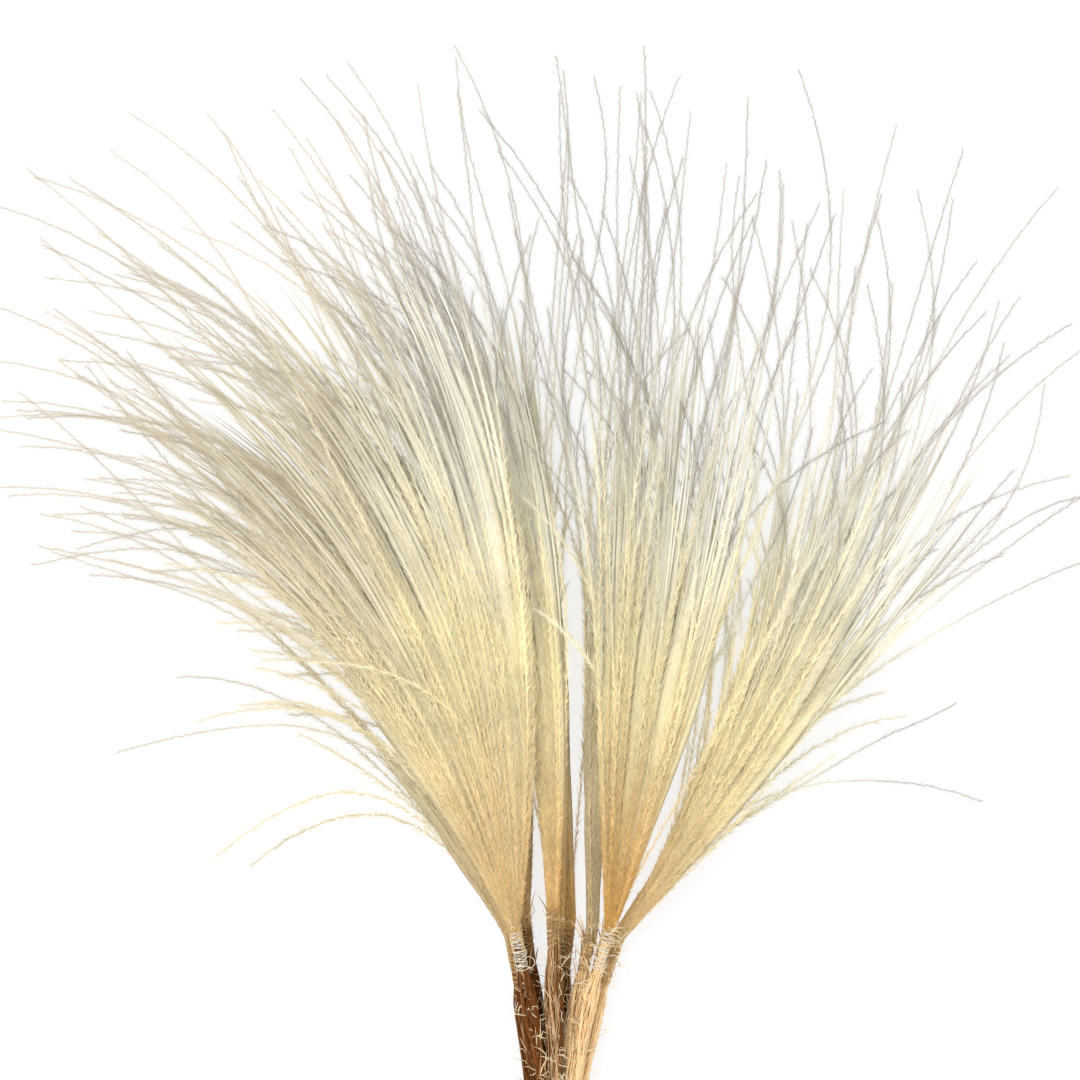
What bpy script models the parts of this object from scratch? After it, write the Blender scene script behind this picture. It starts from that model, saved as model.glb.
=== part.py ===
"""A dried bundle of feather grass, laid on a flat surface with its plumes towards +Y.

Ten small bunches are held together. Each one is a feathery plume of long awns, the brown
stalk that the awns grow from, and a thread wound round the place where they meet. One twine
tie gathers all ten stalks. The origin is under the middle of that tie, on the surface.
"""

import math
import random
from collections import namedtuple

import bmesh
import bpy
from mathutils import Vector

MM = 0.001

# The tie, and the stalks as they are packed inside it
STALK_RADIUS_AT_TIE = 2.3 * MM
STALK_PITCH = 4.9 * MM
TWINE_THICKNESS = 1.6 * MM
TWINE_TURNS = 5
TWINE_TURN_WIDTH = 1.7 * MM
TWINE_CREST_SHARE = 0.28
TWINE_VALLEY_SHARE = 0.55
TIE_GAP = 0.75 * MM
FIT_GAP = 0.3 * MM

# The stalks
CUT_END_DISTANCE = 128 * MM
CUT_END_SPREAD = 1.35
CUT_END_STAGGER = 6 * MM
CUT_END_STAGGER_STEP = 2.3
SPREAD_POWER_ABOVE = 1.6
RISE_POWER_ABOVE = 1.25
SPREAD_POWER_BELOW = 1.3
STALK_RIBS = 5
STALK_RIB_DEPTH = 0.32
STALK_TWIST_PER_METRE = math.radians(1300)
STALK_STATIONS_ABOVE = (0.0, 0.2, 0.38, 0.54, 0.66, 0.8, 1.0)
STALK_STATIONS_BELOW = (1.0, 0.66, 0.3)
NECK_RADIUS = 1.8 * MM
# Radius at shares of the way from the tie to the neck. The swelling is where the seed bases sit
STALK_RADII_ABOVE = ((0.0, 2.3), (0.1, 2.3), (0.5, 2.7), (0.66, 2.8), (0.78, 1.9), (1.0, 1.8))
STALK_RADIUS_AT_END = 2.2 * MM

# The thread round each neck
BINDER_LENGTH_BELOW = 11 * MM
BINDER_LENGTH_ABOVE = 3.5 * MM
BINDER_RIDGES = 5
BINDER_THICKNESS = 0.6 * MM
BINDER_VALLEY_SHARE = 0.3
BINDER_GAP = 0.5 * MM
BINDER_SIDES = 8

# The plumes
HEEL_LENGTH = 34 * MM
HEEL_RADIUS = 3.2 * MM
HEEL_RIBS = 6
# Share of the heel's length, and its radius there as a share of its full radius
HEEL_WIDTHS = ((0.0, 0.54), (0.12, 0.57), (0.4, 1.0), (0.65, 0.95), (1.0, 0.4))
AWN_ROOT_HEIGHT = 6 * MM
AWN_ROOT_SPREAD = 0.9 * MM
AWN_WIDTH = 2.9 * MM
AWN_THICKNESS = 1.15 * MM
AWN_SHAFT_SHARE = 0.65
# Share of the awn's length, and its width there as a share of the full width. The first part
# of every awn is inside the heel and the locks
AWN_WIDTHS = ((0.04, 0.6), (0.36, 1.0), (0.7, 0.85), (1.0, 0.55))
AWN_SAG = math.radians(5)
CONTROL_SHARE = 0.5
# Awns that lean out more than this are shorter, by this share of their length for each degree
FULL_REACH_HEADING = 30
REACH_LOSS_PER_DEGREE = 0.0135
LOCK_RADIUS = 4.4 * MM
LOCK_FLATNESS = 0.62
LOCK_RIBS = 4
LOCK_RIB_DEPTH = 0.3
LOCK_WIDTHS = ((0.0, 0.4), (0.2, 0.8), (0.48, 1.0), (0.78, 0.65), (1.0, 0.14))
FLOOR_CLEARANCE = 0.41 * MM
# Steps that spread the awns evenly across a fan and up through it
ACROSS_STEP = 0.7548776662
THROUGH_STEP = 0.5698402910

# A bunch's slot counts half pitches across and rows up. The neck is in millimetres from the
# origin. An awn leaves the neck at one of the start headings and its tip lies at the matching
# tip heading, both in degrees from +Y towards +X, drawn aside by the matching curl in
# millimetres. Lift is degrees above level, and reach is the straight length of an awn in
# millimetres. Silk is the share of that reach which the locks fill, from the left edge of the
# fan to the right one.
Bunch = namedtuple("Bunch", "name slot neck start tips lift reach curl silk awns locks seed")
BUNCHES = (
    Bunch("left_front", (-2, 2), (-13.8, 71, 21.0), (-27, 9), (-37, -3), (8.0, 12.5),
          (205, 332), (-36, -16), (0.6, 0.85), 30, 5, 11),
    Bunch("middle_front", (0, 2), (-0.8, 80, 21.0), (-5, 5), (-11, -2), (4.6, 6.6),
          (171, 276), (-18, -14), (0.8, 0.9), 14, 2, 12),
    Bunch("right_front", (2, 2), (18.4, 71, 21.0), (-4, 25), (0.5, 17), (6.5, 11.0),
          (175, 312), (-14, -4), (0.58, 0.68), 20, 4, 13),
    Bunch("left_wisps", (-3, 1), (-14.8, 66, 12.8), (-31, -26), (-45, -32), (2.6, 5.0),
          (185, 300), (-34, -14), (0.3, 0.3), 11, 1, 14),
    Bunch("centre_tall", (-1, 1), (0.8, 72, 12.5), (-5, 3), (-15, -3), (1.6, 3.4),
          (238, 340), (-16, -4), (0.5, 0.5), 18, 2, 15),
    Bunch("centre_slim", (1, 1), (12.6, 70, 13.0), (-2, 3), (1, 9), (2.6, 5.0),
          (210, 322), (-6, 6), (0.4, 0.4), 11, 1, 16),
    Bunch("right_wide", (3, 1), (20.8, 65, 13.0), (25, 41), (14, 41), (2.6, 5.8),
          (190, 318), (-16, -4), (0.45, 0.78), 26, 4, 17),
    Bunch("left_low", (-2, 0), (-10.6, 75, 5.0), (-20, 6), (-33, -12), (-1.2, 1.4),
          (170, 296), (-30, -10), (0.5, 0.4), 20, 3, 18),
    Bunch("centre_low", (0, 0), (4.8, 72, 5.0), (-7, 0), (-15, -4), (-1.2, 1.4),
          (190, 295), (-12, -2), (0.5, 0.5), 12, 2, 19),
    Bunch("right_low", (2, 0), (17.6, 62, 5.0), (35, 41), (27, 50), (-1.2, 1.4),
          (190, 322), (-6, 10), (0.4, 0.5), 16, 2, 20),
)

CREAM = (0.86, 0.77, 0.52, 1)
BROWN = (0.36, 0.19, 0.07, 1)
THREAD = (0.86, 0.82, 0.72, 1)
TWINE = (0.62, 0.47, 0.28, 1)


def clear_scene():
    for obj in list(bpy.data.objects):
        bpy.data.objects.remove(obj)


def new_collection(name, hidden=False):
    collection = bpy.data.collections.new(name)
    collection.hide_render = hidden
    bpy.context.scene.collection.children.link(collection)
    return collection


def new_material(name, colour, roughness):
    material = bpy.data.materials.new(name)
    material.use_nodes = True
    shader = material.node_tree.nodes["Principled BSDF"]
    shader.inputs["Base Color"].default_value = colour
    shader.inputs["Roughness"].default_value = roughness
    shader.inputs["Metallic"].default_value = 0
    return material


def interpolate(table, share):
    """The value at a share, read from (share, value) pairs with straight lines between them."""
    for (low, first), (high, second) in zip(table, table[1:]):
        if share <= high:
            return first + (second - first) * (share - low) / (high - low)
    return table[-1][1]


# Cross-sections


def profile(name, outline, guides):
    """A closed flat outline that a curve is swept with."""
    data = bpy.data.curves.new(name, "CURVE")
    spline = data.splines.new("POLY")
    spline.points.add(len(outline) - 1)
    for point, (x, y) in zip(spline.points, outline):
        point.co = (x, y, 0, 1)
    spline.use_cyclic_u = True
    obj = bpy.data.objects.new(name, data)
    obj.hide_render = True
    obj.display_type = "WIRE"
    guides.objects.link(obj)
    return obj


def ribbed_outline(ribs, depth, flatness=1.0, points_per_rib=2):
    """An outline of radius 1 with ribs standing out of it."""
    count = ribs * points_per_rib
    outline = []
    for i in range(count):
        angle = math.tau * i / count
        radius = 1 - depth * (1 - math.cos(ribs * angle)) / 2
        outline.append((radius * math.cos(angle), radius * flatness * math.sin(angle)))
    return outline


def blade_outline():
    """An awn's cross-section: two flat wings that meet in a raised shaft."""
    half = AWN_WIDTH / 2
    crest = AWN_SHAFT_SHARE * AWN_THICKNESS
    return [(-half, crest - AWN_THICKNESS), (half, crest - AWN_THICKNESS), (0, crest)]


def twine_outline():
    """The tie's cross-section: flat inside, with one flat-topped ridge for each turn of twine."""
    width = TWINE_TURNS * TWINE_TURN_WIDTH
    outline = [(0, width / 2), (0, -width / 2)]
    for turn in range(TWINE_TURNS):
        middle = (turn + 0.5) * TWINE_TURN_WIDTH - width / 2
        crest = TWINE_CREST_SHARE * TWINE_TURN_WIDTH
        outline.append((TWINE_THICKNESS, middle - crest))
        outline.append((TWINE_THICKNESS, middle + crest))
        if turn < TWINE_TURNS - 1:
            valley = TWINE_VALLEY_SHARE * TWINE_THICKNESS
            outline.append((valley, middle + TWINE_TURN_WIDTH / 2))
    return outline


def swept(name, points, radii, section, collection, twists=None, upright=False):
    """A curve through the points, swept with a cross-section and closed at both ends."""
    data = bpy.data.curves.new(name, "CURVE")
    data.dimensions = "3D"
    data.twist_mode = "Z_UP" if upright else "MINIMUM"
    data.bevel_mode = "OBJECT"
    data.bevel_object = section
    data.use_fill_caps = True
    spline = data.splines.new("POLY")
    spline.points.add(len(points) - 1)
    for i, (point, place, radius) in enumerate(zip(spline.points, points, radii)):
        point.co = (*place, 1)
        point.radius = radius
        point.tilt = twists[i] if twists else 0
    obj = bpy.data.objects.new(name, data)
    collection.objects.link(obj)
    return obj


def as_mesh(obj):
    """The curve's swept surface as a mesh object with its caps welded on."""
    graph = bpy.context.evaluated_depsgraph_get()
    mesh = bpy.data.meshes.new_from_object(obj.evaluated_get(graph))
    shape = bmesh.new()
    shape.from_mesh(mesh)
    bmesh.ops.remove_doubles(shape, verts=shape.verts, dist=0.001 * MM)
    bmesh.ops.recalc_face_normals(shape, faces=shape.faces)
    shape.to_mesh(mesh)
    shape.free()
    made = bpy.data.objects.new(obj.name + "_mesh", mesh)
    made.matrix_world = obj.matrix_world
    obj.users_collection[0].objects.link(made)
    bpy.data.objects.remove(obj)
    return made


def fill_sealed_voids(mesh):
    """Fill the closed gaps that crossing pieces left inside, and keep only the outer skin."""
    shape = bmesh.new()
    shape.from_mesh(mesh)
    unseen = set(shape.faces)
    skins = []
    while unseen:
        skin = {unseen.pop()}
        edge_of_skin = list(skin)
        while edge_of_skin:
            face = edge_of_skin.pop()
            for edge in face.edges:
                for neighbour in edge.link_faces:
                    if neighbour in unseen:
                        unseen.discard(neighbour)
                        skin.add(neighbour)
                        edge_of_skin.append(neighbour)
        skins.append(skin)
    outer = max(skins, key=len)
    inner = [face for face in shape.faces if face not in outer]
    bmesh.ops.delete(shape, geom=inner, context="FACES")
    shape.to_mesh(mesh)
    shape.free()


# Where a stalk runs


def slot_place(slot):
    """The middle of a stalk inside the tie, from its half pitches across and rows up."""
    across, row = slot
    lowest = TWINE_THICKNESS + TIE_GAP + STALK_RADIUS_AT_TIE
    row_height = STALK_PITCH * math.sin(math.radians(60))
    return Vector((across * STALK_PITCH / 2, 0, lowest + row * row_height))


def neck_place(bunch):
    return Vector(bunch.neck) * MM


def stalk_above(bunch, share):
    """The stalk's middle at a share of the way from the tie to the neck."""
    start, neck = slot_place(bunch.slot), neck_place(bunch)
    spread = share**SPREAD_POWER_ABOVE
    rise = share**RISE_POWER_ABOVE
    return Vector((start.x + (neck.x - start.x) * spread, neck.y * share,
                   start.z + (neck.z - start.z) * rise))


def stalk_below(bunch, share):
    """The stalk's middle at a share of the way from the tie to the cut end."""
    start = slot_place(bunch.slot)
    drop = TWINE_THICKNESS + TIE_GAP + STALK_RADIUS_AT_TIE - STALK_RADIUS_AT_END
    end = Vector((start.x * CUT_END_SPREAD, 0, start.z - drop))
    stagger = CUT_END_STAGGER * math.sin(CUT_END_STAGGER_STEP * bunch.seed)
    length = CUT_END_DISTANCE + stagger
    spread = share**SPREAD_POWER_BELOW
    return Vector((start.x + (end.x - start.x) * spread, -length * share,
                   start.z + (end.z - start.z) * spread))


def neck_direction(bunch):
    step = 0.03
    return (stalk_above(bunch, 1) - stalk_above(bunch, 1 - step)).normalized()


# Where an awn runs


def direction(heading, lift):
    """A unit vector at a heading from +Y towards +X and a lift above level, in radians."""
    return Vector((math.sin(heading) * math.cos(lift), math.cos(heading) * math.cos(lift),
                   math.sin(lift)))


def above_floor(point):
    return Vector((point.x, point.y, max(point.z, FLOOR_CLEARANCE)))


def between(limits, share):
    return limits[0] + (limits[1] - limits[0]) * share


def arc_of(bunch, across, through, reach):
    """Root, control and tip of an awn's curve, from its shares across the fan and up through it."""
    start = math.radians(between(bunch.start, across))
    heading = math.radians(between(bunch.tips, across))
    lift = math.radians(between(bunch.lift, through))
    leaning = max(0, math.degrees(abs(heading)) - FULL_REACH_HEADING)
    reach *= 1 - REACH_LOSS_PER_DEGREE * leaning
    offset = AWN_ROOT_SPREAD * Vector((2 * across - 1, 0, 2 * through - 1))
    root = neck_place(bunch) + AWN_ROOT_HEIGHT * neck_direction(bunch) + offset
    control = root + CONTROL_SHARE * reach * direction(start, lift + AWN_SAG)
    tip = root + reach * direction(heading, lift)
    return root, above_floor(control), above_floor(tip)


def on_arc(arc, share):
    root, control, tip = arc
    rest = 1 - share
    return rest * rest * root + 2 * share * rest * control + share * share * tip


def side_of(arc, share):
    """The level direction to the right of an arc at a share of its length."""
    ahead = (on_arc(arc, min(1, share + 0.02)) - on_arc(arc, share - 0.02)).normalized()
    return Vector((ahead.y, -ahead.x, 0))


def curled(arc, share, curl):
    """A point on an arc, drawn aside more and more towards the tip."""
    return above_floor(on_arc(arc, share) + side_of(arc, share) * curl * MM * share**3)


def awn_points(bunch, index, shares):
    """One awn of a bunch. Its place in the fan follows the index, with a seeded length."""
    draw = random.Random(1000 * bunch.seed + index)
    across = math.modf(0.5 + index * ACROSS_STEP)[0]
    through = math.modf(0.5 + index * THROUGH_STEP)[0]
    arc = arc_of(bunch, across, through, between(bunch.reach, draw.random()) * MM)
    curl = between(bunch.curl, across)
    return [curled(arc, share, curl) for share in shares]


def lock_points(bunch, index, shares):
    """One lock of awns that cling together, evenly spaced across the fan."""
    across = (index + 0.5) / bunch.locks
    arc = arc_of(bunch, across, 0.5, sum(bunch.reach) / 2 * MM)
    silk, curl = between(bunch.silk, across), between(bunch.curl, across)
    return [curled(arc, share * silk, curl) for share in shares]


# The pieces


def make_awn(bunch, index, section, collection):
    points = awn_points(bunch, index, [share for share, _ in AWN_WIDTHS])
    return swept(f"awn_{index}", points, [width for _, width in AWN_WIDTHS], section, collection,
                 upright=True)


def make_lock(bunch, index, section, collection):
    points = lock_points(bunch, index, [share for share, _ in LOCK_WIDTHS])
    radii = [LOCK_RADIUS * width for _, width in LOCK_WIDTHS]
    return swept(f"lock_{index}", points, radii, section, collection, upright=True)


def make_heel(bunch, section, collection):
    """The tight foot of a plume, which stands on its stalk."""
    axis = neck_direction(bunch)
    foot = neck_place(bunch) + FIT_GAP * axis
    root, control, _ = arc_of(bunch, 0.5, 0.5, HEEL_LENGTH)
    onward = (control - root).normalized()
    points = []
    for share, _ in HEEL_WIDTHS:
        height = share * HEEL_LENGTH
        bend = min(height, AWN_ROOT_HEIGHT)
        points.append(foot + bend * axis + (height - bend) * onward)
    radii = [HEEL_RADIUS * width for _, width in HEEL_WIDTHS]
    return swept("heel", points, radii, section, collection)


def make_plume(bunch, sections, parts, material):
    """The plume: a foot, a few locks and many single awns, joined in one body."""
    pieces = new_collection("pieces_of_" + bunch.name)
    curves = [make_lock(bunch, i, sections["lock"], pieces) for i in range(bunch.locks)]
    curves += [make_awn(bunch, i, sections["blade"], pieces) for i in range(bunch.awns)]
    heel = make_heel(bunch, sections["heel"], parts)
    bpy.context.view_layer.update()
    for curve in curves:
        as_mesh(curve)
    heel = as_mesh(heel)
    union = heel.modifiers.new("join", "BOOLEAN")
    union.operation = "UNION"
    union.operand_type = "COLLECTION"
    union.collection = pieces
    union.solver = "MANIFOLD"
    graph = bpy.context.evaluated_depsgraph_get()
    mesh = bpy.data.meshes.new_from_object(heel.evaluated_get(graph))
    fill_sealed_voids(mesh)
    plume = bpy.data.objects.new("plume_" + bunch.name, mesh)
    mesh.materials.clear()
    mesh.materials.append(material)
    parts.objects.link(plume)
    bpy.data.objects.remove(heel)
    for piece in list(pieces.objects):
        bpy.data.objects.remove(piece)
    bpy.data.collections.remove(pieces)


def make_stalk(bunch, section, parts, material):
    """The ribbed stalk, twisted like a loose rope, from its cut end up to the neck."""
    points = [stalk_below(bunch, share) for share in STALK_STATIONS_BELOW]
    radii = [STALK_RADIUS_AT_END for _ in STALK_STATIONS_BELOW]
    points += [stalk_above(bunch, share) for share in STALK_STATIONS_ABOVE]
    radii += [interpolate(STALK_RADII_ABOVE, share) * MM for share in STALK_STATIONS_ABOVE]
    twists = [STALK_TWIST_PER_METRE * (point.y - points[0].y) + bunch.seed for point in points]
    stalk = as_mesh(swept("stalk_" + bunch.name, points, radii, section, parts, twists))
    stalk.name = "stalk_" + bunch.name
    stalk.data.materials.append(material)


def make_binder(bunch, parts, material):
    """The thread wound round the neck: a ridged sleeve turned about the neck's direction."""
    inner = (NECK_RADIUS + BINDER_GAP) / math.cos(math.pi / BINDER_SIDES)
    length = BINDER_LENGTH_BELOW + BINDER_LENGTH_ABOVE
    pitch = length / BINDER_RIDGES
    outline = [(inner, length)]
    for ridge in reversed(range(BINDER_RIDGES)):
        outline.append((inner + BINDER_THICKNESS, (ridge + 0.5) * pitch))
        outline.append((inner + BINDER_VALLEY_SHARE * BINDER_THICKNESS, ridge * pitch))
    outline.append((inner, 0))
    shape = bmesh.new()
    corners = [shape.verts.new((x, 0, z)) for x, z in outline]
    for first, second in zip(corners, corners[1:] + corners[:1]):
        shape.edges.new((first, second))
    mesh = bpy.data.meshes.new("binder_" + bunch.name)
    shape.to_mesh(mesh)
    shape.free()
    binder = bpy.data.objects.new("binder_" + bunch.name, mesh)
    parts.objects.link(binder)
    turn = binder.modifiers.new("turn", "SCREW")
    turn.axis = "Z"
    turn.angle = math.tau
    turn.steps = turn.render_steps = BINDER_SIDES
    turn.use_merge_vertices = True
    turn.merge_threshold = 0.02 * MM
    axis = neck_direction(bunch)
    binder.rotation_mode = "QUATERNION"
    binder.rotation_quaternion = axis.to_track_quat("Z", "X")
    binder.location = neck_place(bunch) - BINDER_LENGTH_BELOW * axis
    mesh.materials.append(material)


def tie_path():
    """The line of the tie's inner face: round the outer stalks, with straight runs between them."""
    reach = STALK_RADIUS_AT_TIE + TIE_GAP
    corners = ((-3, 1), (-2, 0), (2, 0), (3, 1), (2, 2), (-2, 2))
    arc_steps = 2
    points = []
    for i, slot in enumerate(corners):
        here = slot_place(slot)
        before, after = slot_place(corners[i - 1]), slot_place(corners[(i + 1) % len(corners)])
        start = math.atan2((here - before).z, (here - before).x) - math.pi / 2
        end = math.atan2((after - here).z, (after - here).x) - math.pi / 2
        sweep = (end - start) % math.tau
        for step in range(arc_steps + 1):
            angle = start + sweep * step / arc_steps
            points.append(here + reach * Vector((math.cos(angle), 0, math.sin(angle))))
    return points


def make_tie(parts, material):
    """The twine: its cross-section carried round the path, as a loft between mitred corners."""
    path = tie_path()
    outline = twine_outline()
    shape = bmesh.new()
    rings = []
    for i, here in enumerate(path):
        incoming = (here - path[i - 1]).normalized()
        outgoing = (path[(i + 1) % len(path)] - here).normalized()
        out_first = Vector((incoming.z, 0, -incoming.x))
        out_second = Vector((outgoing.z, 0, -outgoing.x))
        mitre = (out_first + out_second).normalized()
        stretch = 1 / mitre.dot(out_first)
        ring = []
        for height, along in outline:
            ring.append(shape.verts.new(here + height * stretch * mitre + Vector((0, along, 0))))
        rings.append(ring)
    for ring, following in zip(rings, rings[1:] + rings[:1]):
        for j in range(len(outline)):
            k = (j + 1) % len(outline)
            shape.faces.new((ring[j], ring[k], following[k], following[j]))
    bmesh.ops.recalc_face_normals(shape, faces=shape.faces)
    mesh = bpy.data.meshes.new("twine_tie")
    shape.to_mesh(mesh)
    shape.free()
    mesh.materials.append(material)
    parts.objects.link(bpy.data.objects.new("twine_tie", mesh))


def main():
    clear_scene()
    parts = new_collection("feather_grass_bundle")
    guides = new_collection("cross_sections", hidden=True)
    cream = new_material("dried_plume", CREAM, 0.6)
    brown = new_material("dry_stalk", BROWN, 0.75)
    thread = new_material("pale_thread", THREAD, 0.8)
    twine = new_material("jute_twine", TWINE, 0.85)
    sections = {
        "blade": profile("blade_section", blade_outline(), guides),
        "lock": profile("lock_section", ribbed_outline(LOCK_RIBS, LOCK_RIB_DEPTH, LOCK_FLATNESS),
                        guides),
        "heel": profile("heel_section", ribbed_outline(HEEL_RIBS, LOCK_RIB_DEPTH), guides),
        "stalk": profile("stalk_section",
                         ribbed_outline(STALK_RIBS, STALK_RIB_DEPTH, points_per_rib=3), guides),
    }
    for bunch in BUNCHES:
        make_plume(bunch, sections, parts, cream)
        make_stalk(bunch, sections["stalk"], parts, brown)
        make_binder(bunch, parts, thread)
    make_tie(parts, twine)


main()
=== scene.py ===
"""A dried bundle of feather grass, dressed with its hairy awns, culms, threads and twine.

The solids of the bundle are loaded as a fixed frame. Each of them is then replaced by a finer
piece that follows the same line: plumes by many hairy awns, stalks by bundles of thin culms,
binders by wound thread and the tie by twisted twine. Silky locks under the awns, fine fibres
round the stalks, loose pale fibres and slivers of leaf sheath are added.
"""

import math
import random
from collections import namedtuple

import bpy
from mathutils import Matrix, Vector


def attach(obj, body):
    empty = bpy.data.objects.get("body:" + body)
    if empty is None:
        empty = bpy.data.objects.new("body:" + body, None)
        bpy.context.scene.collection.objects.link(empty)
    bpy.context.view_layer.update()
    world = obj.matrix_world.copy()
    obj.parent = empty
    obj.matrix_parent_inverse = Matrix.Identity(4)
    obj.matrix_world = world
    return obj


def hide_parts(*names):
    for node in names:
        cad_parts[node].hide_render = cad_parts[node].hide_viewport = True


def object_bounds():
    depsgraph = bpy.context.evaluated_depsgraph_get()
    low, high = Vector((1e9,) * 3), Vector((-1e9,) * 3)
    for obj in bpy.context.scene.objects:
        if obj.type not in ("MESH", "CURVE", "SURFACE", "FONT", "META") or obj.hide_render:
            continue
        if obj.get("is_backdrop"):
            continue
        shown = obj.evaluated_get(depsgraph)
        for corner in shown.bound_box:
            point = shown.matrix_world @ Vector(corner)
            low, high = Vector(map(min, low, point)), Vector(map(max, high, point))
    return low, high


bl_info = {
    "name": "Feather Grass Bundle",
    "version": (1, 0, 0),
    "blender": (4, 5, 0),
    "location": "View3D > Sidebar > Feather Grass",
    "description": "Dresses a bundle of dried feather grass with awns, culms, threads and twine",
    "category": "Object",
}

MM = 0.001
BODY = "root"
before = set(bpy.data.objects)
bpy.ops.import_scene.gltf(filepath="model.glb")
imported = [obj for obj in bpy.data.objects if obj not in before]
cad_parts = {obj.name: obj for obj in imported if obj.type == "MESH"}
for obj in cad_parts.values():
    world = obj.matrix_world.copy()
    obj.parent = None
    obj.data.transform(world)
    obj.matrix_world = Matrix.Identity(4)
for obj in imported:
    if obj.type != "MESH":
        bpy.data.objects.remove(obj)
LOW, HIGH = (Vector(corner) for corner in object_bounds())

# The layout of the bundle, as the solids have it, but that right_front and right_wide start a
# little further apart. Slots count half pitches across and rows up, necks are in millimetres,
# headings and lifts in degrees and reaches in millimetres. Curl is how far the tips are drawn
# aside, in millimetres, to the right where positive, from the left edge of the fan to the right
# one. Silk is the share of the reach that the silky locks fill, from the left edge to the right
# one too. Locks and awns are numbers of them. Warmth goes from grey beige at 0 to amber at 1.
# The tone and painted sheen factor lightens or darkens the whole bunch. It is partly the bunch's
# own tone and partly a painted sheen that lightens the brightest bunches. Golden goes from a
# dark brown stalk at 0 to a golden one at 1. A pale thread is wound where the photograph shows
# one.
Bunch = namedtuple("Bunch", "name slot neck start tips lift reach curl silk locks seed "
                            "awns warmth shine golden pale_thread")
BUNCHES = (
    Bunch("left_front", (-2, 2), (-13.8, 71, 21.0), (-27, 9), (-37, -3), (8.0, 12.5),
          (205, 332), (-36, -16), (0.52, 0.85), 5, 11, 156, 0.42, 1.01, 0.05, True),
    Bunch("middle_front", (0, 2), (-0.8, 80, 21.0), (-5, 5), (-11, -2), (4.6, 6.6),
          (171, 276), (-18, -14), (0.8, 0.9), 2, 12, 54, 0.6, 1.0, 0.3, False),
    Bunch("right_front", (2, 2), (18.4, 71, 21.0), (-4, 22), (0.5, 17), (6.5, 11.0),
          (175, 312), (-14, -4), (0.58, 0.68), 4, 13, 84, 1.0, 0.92, 0.95, True),
    Bunch("left_wisps", (-3, 1), (-14.8, 66, 12.8), (-31, -26), (-45, -32), (2.6, 5.0),
          (185, 300), (-34, -14), (0.3, 0.3), 1, 14, 12, 0.25, 0.95, 0.05, False),
    Bunch("centre_tall", (-1, 1), (0.8, 72, 12.5), (-5, 3), (-15, -3), (1.6, 3.4),
          (238, 340), (-16, -4), (0.5, 0.5), 2, 15, 33, 0.7, 0.93, 0.35, False),
    Bunch("centre_slim", (1, 1), (12.6, 70, 13.0), (-2, 3), (1, 9), (2.6, 5.0),
          (210, 322), (-6, 6), (0.4, 0.4), 1, 16, 20, 0.2, 0.9, 0.8, False),
    Bunch("right_wide", (3, 1), (20.8, 65, 13.0), (33, 41), (14, 41), (2.6, 5.8),
          (190, 318), (-16, -4), (0.45, 0.78), 4, 17, 70, 0.4, 1.03, 1.05, False),
    Bunch("left_low", (-2, 0), (-10.6, 75, 5.0), (-20, 6), (-33, -12), (-1.2, 1.4),
          (170, 296), (-30, -10), (0.75, 0.7), 3, 18, 60, 0.4, 0.95, 0.0, False),
    Bunch("centre_low", (0, 0), (4.8, 72, 5.0), (-7, 0), (-15, -4), (-1.2, 1.4),
          (190, 295), (-12, -2), (0.7, 0.7), 2, 19, 30, 0.7, 0.93, 0.3, False),
    Bunch("right_low", (2, 0), (17.6, 62, 5.0), (35, 41), (27, 50), (-1.2, 1.4),
          (190, 322), (-6, 10), (0.25, 0.3), 2, 20, 20, 0.35, 1.0, 0.8, False),
)

# Sizes that the bundle's solids share with the pieces made here
STALK_RADIUS_AT_TIE = 2.3 * MM
STALK_PITCH = 4.9 * MM
TWINE_THICKNESS = 1.6 * MM
TWINE_TURNS = 5
TWINE_TURN_WIDTH = 1.7 * MM
TIE_GAP = 0.75 * MM
CUT_END_DISTANCE = 128 * MM
CUT_END_SPREAD = 1.35
CUT_END_STAGGER = 6 * MM
CUT_END_RHYTHM = 2.3
SPREAD_POWER_ABOVE = 1.6
RISE_POWER_ABOVE = 1.25
SPREAD_POWER_BELOW = 1.3
STALK_RADII_ABOVE = ((0.0, 2.3), (0.1, 2.3), (0.5, 2.7), (0.66, 2.8), (0.78, 1.9), (1.0, 1.8))
STALK_RADIUS_AT_END = 2.2 * MM
BINDER_LENGTH_BELOW = 11 * MM
BINDER_LENGTH_ABOVE = 3.5 * MM
BINDER_RADIUS = 2.1 * MM
AWN_ROOT_HEIGHT = 6 * MM
AWN_ROOT_SPREAD = 0.9 * MM
AWN_SAG = math.radians(5)
CONTROL_SHARE = 0.5
FULL_REACH_HEADING = 30
REACH_LOSS_PER_DEGREE = 0.0135
FLOOR_CLEARANCE = 0.41 * MM
ACROSS_STEP = 0.7548776662
THROUGH_STEP = 0.5698402910

# From here on, a pair of numbers gives the limits between which a value is drawn at random,
# unless its comment says otherwise.

# The foot of a plume: how far its strands spread there, over which share of their length they
# do, how far below the neck they start, in millimetres, and how they narrow down to there
FOOT_SPREAD = 0.9 * MM
FOOT_SHARE = 0.3
FOOT_DROPS = (12, 6)
FOOT_TAPER = 0.25

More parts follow.
